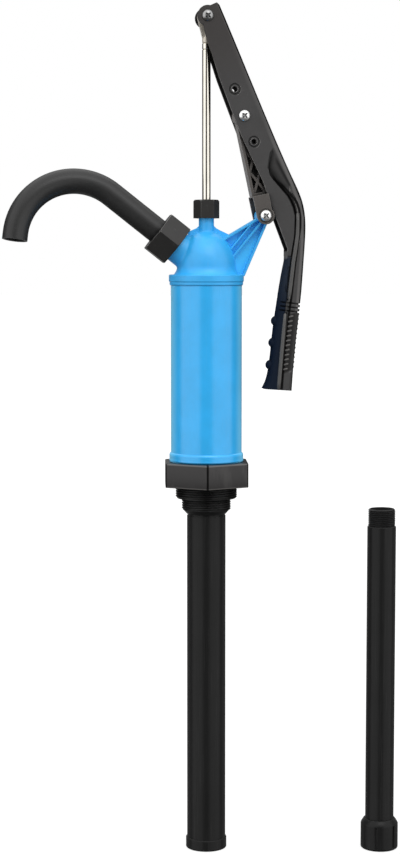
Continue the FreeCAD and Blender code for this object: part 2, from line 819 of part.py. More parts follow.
def ring_grooves():
    """Thin bands round the grip, outside a core that is smaller than the grip by the grooves' depths."""
    front = ring_groove_depth - ring_groove_front
    back = ring_groove_back - ring_groove_depth
    half = lever_half_width - ring_groove_side_depth
    core = block((0, -half, front), (ring_groove_width, half, back))
    short_edges = [edge for edge in core.Edges if edge.Length < 2 * ring_groove_width]
    core = core.makeFillet(grip_rounding - ring_groove_depth, short_edges)
    band = block((0, -past, -past / 2), (ring_groove_width, past, past / 2)).cut(core)
    lean = math.radians(grip_lean_deg)
    bands = []
    for number in range(ring_groove_count):
        shift = number * ring_groove_pitch
        bands.append(place(band, ring_groove_at[0] + shift * math.cos(lean),
                           ring_groove_at[1] - shift * math.sin(lean), grip_lean_deg))
    return bands


def finger_bumps():
    bumps = []
    for s, t in finger_bumps_at:
        bumps.append(cross_rod(finger_bump_r, -finger_bump_half_length, finger_bump_half_length, s, t))
        for side in (-finger_bump_half_length, finger_bump_half_length):
            bumps.append(Part.makeSphere(finger_bump_r, vec(s, side, t)))
    return bumps


def spare_dishes():
    """The round dish and raised rim of the two spare pivot holes, above and below the link's pin."""
    dishes = []
    rims = []
    for side in (-1, 1):
        s = lever_arm + side * spare_hole_pitch
        dish = cross_rod(spare_dish_r, -past, spare_dish_depth - lever_half_width, s)
        dishes += mirrored(dish)
        rims += mirrored(cross_rod(spare_rim_r, -lever_half_width - spare_rim_height, 1 - lever_half_width, s))
    return dishes, rims


def lever():
    blank = lever_blank()
    dishes, rims = spare_dishes()
    reliefs = side_relief(grip_recess, grip_recess_depth) + scoop_relief()
    reliefs += groove_relief(side_groove, side_groove_r, side_groove_lift)
    reliefs += groove_relief(beside(side_groove[1:], fine_groove_away), fine_groove_r, fine_groove_lift)
    body = blank.cut([channel()] + reliefs + ring_grooves() + dishes)
    boss = cross_rod(lever_boss_r, -lever_half_width, lever_half_width)
    body = body.fuse(finger_bumps() + rims + [boss.cut(channel())])
    holes = [cross_rod(pin_r, -past, past), cross_rod(pin_r, -past, past, lever_arm)]
    for side in (-1, 1):
        holes.append(cross_rod(spare_hole_r, -past, past, lever_arm + side * spare_hole_pitch))
    return on_lever(body.cut(holes))


def link():
    """The arm between the lever and the bracket: a rimmed plate with crossed ribs and a forked foot."""
    inner = link_half_height - link_flange
    bay_end = fork_bridge_start - link_flange
    half = link_half_width
    body = block((0, -half, -link_half_height), (fork_bridge_start + 1, half, link_half_height))
    for pocket in mirrored(block((link_bay_start, -half - 1, -inner), (bay_end, -link_web / 2, inner))):
        body = body.cut(pocket)
    bay = (bay_end - link_bay_start) / link_bay_count
    rib_length = math.hypot(bay, 2 * inner)
    rib_half = half - link_rib_inset
    rib = block((-rib_length / 2, -rib_half, -link_rib / 2), (rib_length / 2, rib_half, link_rib / 2))
    lean = math.degrees(math.atan2(2 * inner, bay))
    ribs = []
    for number in range(link_bay_count):
        middle = link_bay_start + bay * (number + 0.5)
        ribs += [place(rib, middle, 0, lean), place(rib, middle, 0, -lean)]
    bridge = block((fork_bridge_start, -fork_outer, fork_bridge_foot),
                   (fork_bridge_start + fork_bridge_length, fork_outer, fork_bridge_top))
    cheek = fused(block((fork_bridge_start, -fork_outer, -fork_cheek_r), (link_length, -fork_inner, fork_cheek_top)),
                  [cross_rod(fork_cheek_r, -fork_outer, -fork_inner, link_length)])
    body = fused(body, ribs + [cross_rod(link_top_r, -half, half), bridge] + mirrored(cheek))
    ring_cut = cross_rod(fork_ring_r, -fork_outer - 1, fork_ring_depth - fork_outer, link_length)
    ring_cut = ring_cut.cut(cross_rod(fork_ring_r - fork_ring_width, -past, past, link_length))
    body = body.cut(mirrored(ring_cut) + [cross_rod(pin_r + pin_gap, -past, past)])
    return on_link(body.cut(cross_rod(screw_r, -past, past, link_length)))


def build():
    return {
        "bung_adapter": bung_adapter(), "adapter_gasket": adapter_gasket(), "cylinder": cylinder(),
        "suction_tube": suction_tube(), "suction_collar": suction_collar(),
        "extension_tube": extension_tube(), "extension_socket": extension_socket(),
        "pump_head": pump_head(), "head_seal": head_seal(), "gland_packing": gland_packing(),
        "gland_washer": gland_washer(), "gland_nut": gland_nut(), "spout_nut": spout_nut(),
        "spout_gasket": spout_gasket(), "spout": spout(), "piston_rod": piston_rod(),
        "rod_lock_ring": rod_lock_ring(), "rod_eye": rod_eye(), "piston": piston(),
        "piston_seal": piston_seal(), "piston_nut": piston_nut(), "valve_stop": valve_stop(),
        "piston_valve": piston_valve(), "foot_valve_seat": foot_valve_seat(),
        "foot_valve_cage": foot_valve_cage(), "foot_valve_ball": foot_valve_ball(),
        "lever": lever(), "rod_spacers": rod_spacers(), "rod_pin": pivot_pin(lever_half_width, 0, rod_pin_z),
        "rod_pin_screws": screw_pair(lever_half_width, screw_tip, 0, rod_pin_z),
        "link_pin": pivot_pin(lever_half_width, link_pin_x, link_pin_z),
        "link_pin_screws": screw_pair(lever_half_width, screw_tip, link_pin_x, link_pin_z),
        "link": link(), "bracket_pin": pivot_pin(ear_half_width, bracket_pin_x, bracket_pin_z),
        "bracket_pin_screws": screw_pair(fork_outer, fork_inner, bracket_pin_x, bracket_pin_z),
    }


os.makedirs("parts", exist_ok=True)
for node, shape in build().items():
    shape.exportStep("parts/" + node + ".step")
    print(node, shape.isValid(), len(shape.Solids), round(shape.Volume / 1000, 2), "cm3")
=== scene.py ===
import math

import bpy
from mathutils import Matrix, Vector


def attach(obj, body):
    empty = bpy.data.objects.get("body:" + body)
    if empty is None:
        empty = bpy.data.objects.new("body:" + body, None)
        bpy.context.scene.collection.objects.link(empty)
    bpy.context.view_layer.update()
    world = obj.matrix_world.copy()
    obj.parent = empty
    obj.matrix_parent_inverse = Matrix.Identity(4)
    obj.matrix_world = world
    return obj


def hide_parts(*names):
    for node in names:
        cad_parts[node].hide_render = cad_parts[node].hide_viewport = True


# Lever drum pump: materials, threads, socket grooves, grip ridges, beads and a bracket rib.
# Lengths are in millimetres and angles in radians, unless a name or comment says otherwise.

MM = 0.001

# Places of the source
BRACKET_PIN = (56.0, 263.0)
LEVER_ARM = 101.0
LINK_LENGTH = 98.0
KNUCKLE = math.radians(8.45)
REACH = math.sqrt(LEVER_ARM ** 2 + LINK_LENGTH ** 2 + 2 * LEVER_ARM * LINK_LENGTH * math.cos(KNUCKLE))
ROD_PIN_Z = BRACKET_PIN[1] + math.sqrt(REACH ** 2 - BRACKET_PIN[0] ** 2)

# The lever's outlines and grooves, as points along it and across it
LEVER_HALF_WIDTH = 13.5
LEVER_BACK = [(-5.2, 14.3), (71.4, 17.8), (133.4, 20.7), (175.3, 23.6), (197.0, 24.6), (212.5, 22.0),
              (233.3, 14.3), (250.9, 6.4), (286.1, -9.9), (321.0, -27.6), (345.0, -39.2), (366.4, -49.0)]
GROOVE = [(155.2, 2.8), (170.0, 7.0), (187.5, 13.4), (193.0, 14.4), (200.0, 14.8), (208.0, 13.9), (226.7, 6.3),
          (250.2, -6.8), (281.1, -22.6), (325.0, -43.8), (372.0, -66.0)]
STRAIGHT_GROOVE = ((250.2, -7.0), (325.0, -43.8))
FINE_GROOVE = [(164.0, 6.0), (186.0, 15.5), (192.0, 17.7), (198.0, 18.8), (204.0, 18.7), (212.0, 17.0),
               (221.0, 13.5), (240.0, 3.0), (252.0, -3.4), (282.0, -18.6), (294.0, -25.4), (325.0, -40.7),
               (372.0, -63.2)]
SCOOP_EDGE = [(138.8, 15.4), (142.4, 10.8), (148.0, 7.4), (155.5, 3.4), (172.0, 7.2), (187.5, 14.6)]
SCOOP_FAR_EDGE = [(138.3, 14.7), (154.0, 16.0), (163.0, 17.0), (179.0, 19.4)]

# Soft borders of the lever's paint: along it
KNUCKLE_END = (10.0, 90.0)
BACK_STRIP_START = (110.0, 150.0)
SCOOP_SPAN = (140.0, 180.0)
SCOOP_FAR_START = (146.0, 156.0)
GROOVE_START = (158.0, 170.0)
FINE_GROOVE_START = (166.0, 176.0)
LIGHT_STRIP_SPAN = (200.0, 283.0)
CHANNEL_END = (236.0, 240.0)
GRIP_START = (241.0, 245.0)
NAVY_DEEPENS = (262.0, 292.0)
RING_GROOVES = (282.5, 292.5)
RIDGED_SPAN = (296.0, 347.5)
HEEL = (348.0, 349.5)

# Soft borders of the lever's paint: across it, out from its middle, and away from its lines
CHANNEL_TOP = (10.0, 11.2)
CHANNEL_HALF_WIDTH = (10.0, 10.8)
SIDE_PLATE = (11.8, 12.5)
BACK_EDGE = (1.3, 2.0)
HEEL_BAND = (1.4, 3.4)
BACK_STRIP_BAND = (2.4, 4.8)
GROOVE_HALF_WIDTH = (0.8, 2.2)
FINE_GROOVE_HALF_WIDTH = (0.7, 1.9)
LIGHT_STRIP_HALF_WIDTH = (0.4, 1.8)
LIGHT_STRIP_LIFT = 2.4
SCOOP_RIM = (-0.3, 0.3)
SCOOP_SHADE_DEPTH = (1.0, 8.0)
SCOOP_FAR_RIM = (-0.6, 1.2)
SCOOP_FAR_SHADE_DEPTH = (0.8, 4.0)
FINGER_SIDE = (-1.0, -0.2)
RIDGE_GROUND = (1.6, 2.4)

# Ridges and beads on the grip. A ridge's path gives how far each point is inside the back and inside the side,
# and its first points are a short bar of their own. A bead has its start, its end and its height at the groove.
RIDGE_COUNT = 12
RIDGE_START = 298.8
RIDGE_PITCH = 4.19
RIDGE_R = 1.05
RIDGE_LEAN = 0.08
RIDGE_HALF_LENGTH = LEVER_HALF_WIDTH - 0.25
RIDGE_PATH = ((10.2, 0.5), (9.5, 0.0), (7.2, 0.0), (6.5, 0.5), (3.4, 0.9), (1.8, 1.3), (0.4, 2.9), (0.1, 5.5))
RIDGE_SHORT_POINTS = 4
BEAD_R = 2.2
BEAD_STEPS = 12
BEAD_SUNK = 2.3
BEAD_RISE = 0.9
BEAD_FADES = (5, 1.5)
BEADS = ((207.0, 281.0, 2.3), (294.0, 359.5, -0.3))

# The bracket's second rib from its root to its tip, and a quarter of its section
SECOND_RIB = ((20.5, 227.6), (44.6, 257.0))
RIB_QUARTER = [(1.2, 1.05), (8.5, 0.85), (9.0, 0.65), (9.25, 0.3)]

# The bung adapter
HEX_HEIGHT = 23.5
HEX_APOTHEM = 40.3
HEX_SIDE_STEPS = 20
HEX_CORNER = math.radians(25.6)
HEX_ROUNDING = 1.2
HEX_RIMS = [(0.0, 0.5), (0.15, 0.15), (0.5, 0.0), (HEX_HEIGHT - 0.9, 0.0), (HEX_HEIGHT - 0.3, 0.2),
            (HEX_HEIGHT, 0.8)]
CORNER_CROWDING = 0.85
BUNG_R = 30.15
BUNG_LENGTH = 12.4
BUNG_THREAD_DEPTH = 1.4
BUNG_FOOT_BEVEL = 2.0
SMALL_BUNG_R = 24.1
SMALL_BUNG_LENGTH = 11.8
SMALL_BUNG_THREAD_DEPTH = 1.3
SMALL_BUNG_FOOT_BEVEL = 2.1
SMALL_BUNG_TOP_RELIEF = (0.3, 1.2)
THREAD_PITCH = 2.31
THREAD_STEPS = 6
THREAD_FLAT = 0.18
THREAD_FLANK = 0.5
THREAD_FADE = 0.5
TUBE_BORE_R = 17.55
TUBE_BORE_LENGTH = 6.0
FOOT_POCKET_R = 20.05
GASKET_HEIGHT = 2.5
GASKET_BORE_R = 31.65
GASKET_R = 35.2
SPIGOT_R = 33.05
SPIGOT_FLOOR = 9.0

# The loose extension tube and its socket, where a groove's width counts in flanks
FOOT_Z = -363.3
EXTENSION = (171.5, -20.0)
EXTENSION_TOP = FOOT_Z + 340.2
EXTENSION_LOW = FOOT_Z + 20.0
EXTENSION_R = 14.1
EXTENSION_BORE_R = 11.0
EXTENSION_MOUTH_BEVEL = 0.6
EXTENSION_SHOULDER_BEVEL = 0.5
EXTENSION_THREAD_BEVEL = (0.3, 1.5)
EXTENSION_STEPS = 96
EXTENSION_THREAD_R = 13.33
EXTENSION_THREAD_LENGTH = 17.3
EXTENSION_THREAD_DEPTH = 1.0
EXTENSION_THREAD_PITCH = 1.814
SOCKET_TOP = FOOT_Z + 29.9
SOCKET_FLOOR = FOOT_Z + 19.9
SOCKET_R = 18.5
SOCKET_BORE_R = 13.4
SOCKET_TUBE_R = 14.15
SOCKET_TUBE_LENGTH = 10.0
SOCKET_FOOT_ROUND = [(0.0, 17.3), (0.5, 18.0), (1.4, 18.5)]
SOCKET_CHAMFER = [(-4.8, 18.4), (-4.0, 18.1), (-0.5, 15.9), (0.0, 15.4)]
SOCKET_STEPS = 288
SOCKET_GROOVE_FOOT = (2.0, 3.0)
SOCKET_GROOVE_TOP = (6.0, 5.2)
SOCKET_GROOVE_TURN = math.radians(9.0)
SOCKET_GROOVE_DEPTH = 1.6
SOCKET_GROOVE_FLANK = math.radians(2.0)
SOCKET_GROOVE_WIDTH = 2.2


def lin(red, green, blue):
    """A colour written in display values from 0 to 255."""
    values = []
    for value in (red, green, blue):
        share = value / 255
        values.append(share / 12.92 if share <= 0.04045 else ((share + 0.055) / 1.055) ** 2.4)
    return (*values, 1.0)


def link_pin():
    """The place of the lever's and link's common pin, where two circles meet."""
    across = BRACKET_PIN[0]
    down = BRACKET_PIN[1] - ROD_PIN_Z
    along = (LEVER_ARM ** 2 - LINK_LENGTH ** 2 + REACH ** 2) / (2 * REACH)
    aside = math.sqrt(LEVER_ARM ** 2 - along ** 2)
    return (along * across - aside * down) / REACH, ROD_PIN_Z + (along * down + aside * across) / REACH


LINK_PIN = link_pin()
LEVER_TURN = math.atan2(ROD_PIN_Z - LINK_PIN[1], LINK_PIN[0])


def on_lever(s, t, y):
    """A point of the lever's own axes in the object's frame, in metres."""
    x = s * math.cos(LEVER_TURN) + t * math.sin(LEVER_TURN)
    z = ROD_PIN_Z - s * math.sin(LEVER_TURN) + t * math.cos(LEVER_TURN)
    return Vector((x, y, z)) * MM


# Materials

BEVEL_SAMPLES = 6
HOLLOW_SAMPLES = 10
OPEN_FACE = 0.95
NOISE_ROUGHNESS = 0.55

# Moulded plastic: noise scales per metre, soft borders as pairs, heights in millimetres
CLOUD_SCALE = 38.0
CLOUD_RANGE = (0.3, 0.7)
CLOUD_SHADE = 0.88
SCUFF_SCALE = 420.0
SCUFF_STRETCH = (1, 1, 0.25)
SCUFF_RANGE = (0.6, 0.78)
SCUFF_SHARE = 0.05
SCUFF_ROUGH = 0.12
SCUFF_PALE = lin(190, 190, 190)
GRAIN_SCALE = 900.0
GRAIN_STRENGTH = 0.12
GRAIN_HEIGHT = 0.04
SINK_STRENGTH = 0.06
SINK_HEIGHT = 0.6
PATCH_SCALE = 150.0
PATCH_ROUGH = (-0.06, 0.08)
# Where painted shade and highlights go: sharp edges, edges and sides facing a way, faces turned away from view,
# and the bracket's webs
RIM = (0.02, 0.2)
FINE_RIM = (0.005, 0.08)
LIT_SIDE = (0.3, 0.6)
LIT_SHARE = 0.9
PAINTED_RIM_HIGHLIGHT = lin(150, 148, 146)
LEFT_SIDE = (0.3, 0.8)
TURNED_AWAY = (0.6, 0.95)
WEB_HALF_WIDTH = (1.8, 2.4)
WEB_START = (22.0, 28.0)

# Drawn pipe
DIE_SCALE = 900.0
DIE_RANGE = (0.55, 0.8)
DIE_SHARE = 0.04
DIE_STRENGTH = 0.08
DIE_HEIGHT = 0.06
DIE_ROUGH = (-0.04, 0.06)
DIE_PALE = lin(150, 150, 150)
PIPE_EDGE = 0.4
PIPE_CLOUD_SCALE = 30.0
PIPE_CLOUD_SHADE = 0.9
PIPE_HOLLOW_SHADE = 0.25

# Steel
STEEL_CLOUD_SCALE = 60.0
STEEL_CLOUD_RANGE = (0.25, 0.75)
STEEL_CLOUD_SHADE = 0.88
STEEL_OPEN = (0.3, 0.8)
STEEL_RECESS_SHADE = 0.08
STEEL_LINE_HEIGHT = 0.01
STEEL_LINE_ROUGH = 0.08

# The bung adapter's plastic: places from the hexagon's foot, and angles from its corners
BUNG_ROUGH = (0.30, 0.42)
BUNG_SPECULAR = (0.35, 0.05)
BUNG_EDGE = 1.0
FLOW_SCALE = 70.0
FLOW_STRETCH = (1, 1, 0.3)
FLOW_RANGE = (0.5, 0.75)
FLOW_SHARE = 0.12
FLOW_GREY = lin(110, 108, 106)
HEX_START = (-0.4, 0.0)
HEX_FOOT_RIM = (0.2, 1.1)
HEX_TOP_RIM = (HEX_HEIGHT - 1.3, HEX_HEIGHT)
HEX_RIM_SOFT = 0.3
HEX_RIM_SHARE = 0.5
HEX_RIM_HIGHLIGHT = lin(120, 118, 116)
DARK_CORNER = (0.016, 0.030)
CORNER_SHARE = 0.9
CORNER_SHADE = lin(8, 8, 8)
BUNG_HOLLOW = (5.0, 0.45)
BUNG_TURNED_AWAY = (0.75, 0.97)
BUNG_SHADE = 0.3

# The lever's plastic: a share is how strongly a tone covers, and a soft is half the width of a soft border
LEVER_ROUGH = (0.30, 0.42)
LEVER_SPECULAR = (0.35, 0.0)
LEVER_EDGE = 0.8
LEVER_GRAIN_SCALE = 1100.0
LEVER_PATCH_SCALE = 160.0
LEVER_CLOUD_SCALE = 34.0
LEVER_CLOUD_SHADE = 0.9
LEVER_SINK_STRENGTH = 0.05
LEVER_SCUFF_SCALE = 380.0
LEVER_SCUFF_STRETCH = (1, 1, 0.3)
LEVER_SCUFF_RANGE = (0.6, 0.8)
LEVER_SCUFF_SHARE = 0.04
LEVER_HOLLOW = (7.0, 0.4, 0.93)
LEVER_LEFT_SIDE = (0.0, 0.4)
LEVER_TURNED_AWAY = (0.45, 0.9)
LEFT_RIM_SHARE = 0.8
BACK_STRIP_SOFT = 0.9
BACK_STRIP_SHARES = (0.15, 0.5)
HEEL_SOFT = 0.6
HEEL_SHARE = 0.6
BACK_EDGE_SHARE = 0.92
SCOOP_SOFT = 3.0
SCOOP_SHARES = (0.2, 0.9)
LIGHT_STRIP_SOFT = 4.0
LIGHT_STRIP_SHARE = 0.7
RING_SOFT = 1.0
FINE_GROOVE_SHARE = 0.9
RIDGED_SOFT = 1.0
RIDGE_GROUND_SHARE = 0.85
SCUFF_GREY = lin(170, 170, 170)
# Painted highlights and painted shades, apart from the two navy tones, which are the finger side's own colour
LEFT_RIM_HIGHLIGHT = lin(170, 168, 165)
BACK_STRIP_HIGHLIGHT = lin(112, 110, 109)
LIGHT_STRIP_HIGHLIGHT = lin(112, 110, 108)
KNUCKLE_SHADE = lin(58, 55, 54)
NAVY = lin(40, 46, 56)
DEEP_NAVY = lin(27, 34, 46)
SHADE_BLACK = lin(16, 16, 16)
RIDGE_GROUND_SHADE = lin(14, 13, 12)
HOLLOW_SHADE_BLACK = lin(12, 12, 12)
TURNED_AWAY_SHADE = lin(10, 10, 10)
GROOVE_SHADE = lin(9, 9, 9)
DEEP_SHADE_BLACK = lin(8, 8, 8)


class Tree:
    """Short calls for building a node tree."""

    def __init__(self, tree):
        self.tree = tree

    def add(self, kind, **settings):
        node = self.tree.nodes.new(kind)
        for key, value in settings.items():
            setattr(node, key, value)
        return node

    def wire(self, source, target):
        if isinstance(source, (int, float, tuple, list)):
            target.default_value = source
        else:
            self.tree.links.new(source, target)

    def math(self, operation, first, second=0.0, third=0.0):
        node = self.add("ShaderNodeMath", operation=operation)
        for number, value in enumerate((first, second, third)):
            self.wire(value, node.inputs[number])
        return node.outputs[0]

    def times(self, *factors):
        product = factors[0]
        for factor in factors[1:]:
            product = self.math("MULTIPLY", product, factor)
        return product

    def most(self, *values):
        largest = values[0]
        for value in values[1:]:
            largest = self.math("MAXIMUM", largest, value)
        return largest

    def rest(self, share):
        """What a share leaves of 1."""
        return self.math("SUBTRACT", 1.0, share)

    def ramp(self, value, low, high):
        """A number taken from the range 0..1 to low..high."""
        return self.math("MULTIPLY_ADD", value, high - low, low)

    def smooth(self, value, low, high):
        """0 below low, 1 above high and a soft step between them."""
        node = self.add("ShaderNodeMapRange", interpolation_type="SMOOTHSTEP")
        self.wire(value, node.inputs["Value"])
        node.inputs["From Min"].default_value = low
        node.inputs["From Max"].default_value = high
        return node.outputs["Result"]

    def fall(self, value, low, high):
        """1 below low, 0 above high and a soft step between them."""
        return self.smooth(self.times(value, -1.0), -high, -low)

    def within(self, value, low, high, soft):
        """1 between low and high, with a soft step at both."""
        return self.math("SUBTRACT", self.smooth(value, low - soft, low + soft),
                         self.smooth(value, high - soft, high + soft))

    def bent_line(self, value, points):
        """The height of a line through points, where the value is the way along it."""
        heading = 0.0
        height = points[0][1]
        for (x0, y0), (x1, y1) in zip(points, points[1:]):
            slope = (y1 - y0) / (x1 - x0)
            past = self.math("MAXIMUM", self.math("SUBTRACT", value, x0), 0.0)
            height = self.math("MULTIPLY_ADD", past, slope - heading, height)
            heading = slope
        return height

    def dot(self, vector, direction):
        node = self.add("ShaderNodeVectorMath", operation="DOT_PRODUCT")
        self.wire(vector, node.inputs[0])
        self.wire(direction, node.inputs[1])
        return node.outputs["Value"]

    def mix(self, share, first, second):
        node = self.add("ShaderNodeMix", data_type="RGBA")
        self.wire(share, node.inputs["Factor"])
        self.wire(first, node.inputs["A"])
        self.wire(second, node.inputs["B"])
        return node.outputs["Result"]


class Skin(Tree):
    """A material's tree, in the frame's coordinates."""

    def __init__(self, name):
        self.name = name
        self.material = bpy.data.materials.new(name)
        self.material.use_nodes = True
        super().__init__(self.material.node_tree)
        self.shader = self.tree.nodes["Principled BSDF"]
        self.place = self.add("ShaderNodeTexCoord").outputs["Object"]

    def along(self, direction):
        """The place measured along a direction."""
        return self.dot(self.place, tuple(part / MM for part in direction))

    def noise(self, scale, stretch=(1, 1, 1), detail=4.0):
        """Noise with its scale given per metre."""
        placed = self.add("ShaderNodeMapping")
        self.wire(self.place, placed.inputs["Vector"])
        placed.inputs["Scale"].default_value = stretch
        node = self.add("ShaderNodeTexNoise")
        self.wire(placed.outputs["Vector"], node.inputs["Vector"])
        node.inputs["Scale"].default_value = scale
        node.inputs["Detail"].default_value = detail
        node.inputs["Roughness"].default_value = NOISE_ROUGHNESS
        return node.outputs["Fac"]

    def bump(self, height, strength, distance, under=None):
        node = self.add("ShaderNodeBump")
        node.inputs["Strength"].default_value = strength
        node.inputs["Distance"].default_value = distance * MM
        self.wire(height, node.inputs["Height"])
        if under is not None:
            self.wire(under, node.inputs["Normal"])
        return node.outputs["Normal"]

    def grained(self, scale, rounded):
        """The fine grain of a moulded skin, on softened edges."""
        return self.bump(self.noise(scale, detail=3.0), GRAIN_STRENGTH, GRAIN_HEIGHT, rounded)

    def clouded(self, cloud, colour, share):
        """The colour with slow patches that have only a share of its brightness."""
        return self.mix(self.smooth(cloud, *CLOUD_RANGE), darker(colour, share), colour)

    def soft_edges(self, radius):
        node = self.add("ShaderNodeBevel")
        node.samples = BEVEL_SAMPLES
        node.inputs["Radius"].default_value = radius * MM
        return node.outputs["Normal"]

    def open_air(self, distance, low, high):
        """1 on open faces, 0 deep in grooves and pockets."""
        node = self.add("ShaderNodeAmbientOcclusion")
        node.samples = HOLLOW_SAMPLES
        node.inputs["Distance"].default_value = distance * MM
        return self.smooth(node.outputs["AO"], low, high)

    def facing(self, low, high):
        """0 where a face is seen square on, 1 where it turns away."""
        return self.smooth(self.add("ShaderNodeLayerWeight").outputs["Facing"], low, high)

    def painted_rim(self, rounded, low, high):
        """1 along sharp edges, from the normals of a soft edge."""
        face = self.add("ShaderNodeNewGeometry").outputs["Normal"]
        return self.smooth(self.rest(self.dot(rounded, face)), low, high)

    def finish(self, colour, rough, normal=None, metal=0.0, specular=0.5):
        """Set the shader, and give the name it was asked for with the material."""
        self.wire(colour, self.shader.inputs["Base Color"])
        self.wire(rough, self.shader.inputs["Roughness"])
        self.shader.inputs["Metallic"].default_value = metal
        self.wire(specular, self.shader.inputs["Specular IOR Level"])
        if normal is not None:
            self.wire(normal, self.shader.inputs["Normal"])
        return self.name, self.material


def darker(colour, share):
    """The colour times a share, which may also be over 1, and no part of it past white."""
    return tuple(min(1.0, share * part) for part in colour[:3]) + (1.0,)


def moulded(name, colour, rough, edge, grain=GRAIN_SCALE, specular=0.35, hollow=(6.0, 0.45), painted_hollow_tone=0.25,
            painted_rim=None, rim_share=0.5, painted_away_tone=0.5, painted_left_highlight=None, painted_highlight_way=None, painted_web_light=None):
    """Injection-moulded plastic: skin grain, slow sink marks and faint scuffs, with painted light and shade in
    hollows, on sharp edges, where faces turn away from view, on the bracket's webs and on sides that face left.
    """
    n = Skin(name)
    cloud = n.noise(CLOUD_SCALE, detail=3.0)
    scuff = n.smooth(n.noise(SCUFF_SCALE, stretch=SCUFF_STRETCH, detail=5.0), *SCUFF_RANGE)
    base = n.mix(n.times(scuff, SCUFF_SHARE), n.clouded(cloud, colour, CLOUD_SHADE), SCUFF_PALE)
    rounded = n.soft_edges(edge)
    air = n.open_air(*hollow, OPEN_FACE)
    # Painted rim colour on sharp edges: painted shade where it is dark, a painted highlight where it is pale
    if painted_rim is not None:
        base = n.mix(n.times(n.painted_rim(rounded, *RIM), air, rim_share), base, painted_rim)
    # Painted highlight on the edges that face the given way
    if painted_highlight_way is not None:
        lit = n.smooth(n.dot(rounded, painted_highlight_way), *LIT_SIDE)
        base = n.mix(n.times(n.painted_rim(rounded, *FINE_RIM), lit, LIT_SHARE), base, PAINTED_RIM_HIGHLIGHT)
    # Painted tone in hollows: painted shade below 1, painted light above 1
    base = n.mix(air, darker(colour, painted_hollow_tone), base)
    # Painted tone where the face turns away from view: painted shade below 1, painted sheen above 1
    base = n.mix(n.facing(*TURNED_AWAY), base, darker(colour, painted_away_tone))
    # Painted light on the bracket's webs between its ribs
    if painted_web_light is not None:
        off_middle = n.math("ABSOLUTE", n.along((0, 1, 0)))
        web = n.times(n.fall(off_middle, *WEB_HALF_WIDTH), n.smooth(n.along((1, 0, 0)), *WEB_START))
        base = n.mix(web, base, painted_web_light)
    # Painted highlight on the sides that face left
    if painted_left_highlight is not None:
        base = n.mix(n.smooth(n.dot(rounded, (-1, 0, 0)), *LEFT_SIDE), base, painted_left_highlight)
    patches = n.ramp(n.noise(PATCH_SCALE), *[rough + change for change in PATCH_ROUGH])
    uneven = n.math("MULTIPLY_ADD", scuff, SCUFF_ROUGH, patches)
    normal = n.bump(cloud, SINK_STRENGTH, SINK_HEIGHT, n.grained(grain, rounded))
    return n.finish(base, uneven, normal, specular=specular)


def extruded(name, colour, away, rough, stretch=(1, 1, 0.02), specular=0.35, hollow=(6.0, 0.45),
             turn=TURNED_AWAY):
    """Drawn pipe: fine die lines along its length over a satin skin, painted shade in hollows, and a painted
    sheen in another tone where it turns away from view.
    """
    n = Skin(name)
    lines = n.noise(DIE_SCALE, stretch=stretch, detail=3.0)
    base = n.clouded(n.noise(PIPE_CLOUD_SCALE, detail=3.0), colour, PIPE_CLOUD_SHADE)
    base = n.mix(n.times(n.smooth(lines, *DIE_RANGE), DIE_SHARE), base, DIE_PALE)
    # Painted shade in hollows
    base = n.mix(n.open_air(*hollow, OPEN_FACE), darker(colour, PIPE_HOLLOW_SHADE), base)
    # Painted sheen, in the colour given as away, where the pipe turns away from view
    base = n.mix(n.facing(*turn), base, away)
    uneven = n.ramp(lines, *[rough + change for change in DIE_ROUGH])
    normal = n.bump(lines, DIE_STRENGTH, DIE_HEIGHT, n.soft_edges(PIPE_EDGE))
    return n.finish(base, uneven, normal, specular=specular)


def steel(name, colour, rough, stretch, line_strength=0.0, scale=1400.0, metal=1.0, recess=2.5):
    """Bright steel with fine drawing or turning lines, and painted shade in its recesses."""
    n = Skin(name)
    lines = n.noise(scale, stretch=stretch, detail=2.0)
    cloud = n.smooth(n.noise(STEEL_CLOUD_SCALE, detail=3.0), *STEEL_CLOUD_RANGE)
    base = n.mix(cloud, colour, darker(colour, STEEL_CLOUD_SHADE))
    # Painted shade in recesses
    base = n.mix(n.open_air(recess, *STEEL_OPEN), darker(colour, STEEL_RECESS_SHADE), base)
    normal = n.bump(lines, line_strength, STEEL_LINE_HEIGHT)
    return n.finish(base, n.ramp(lines, rough, rough + STEEL_LINE_ROUGH), normal, metal=metal)


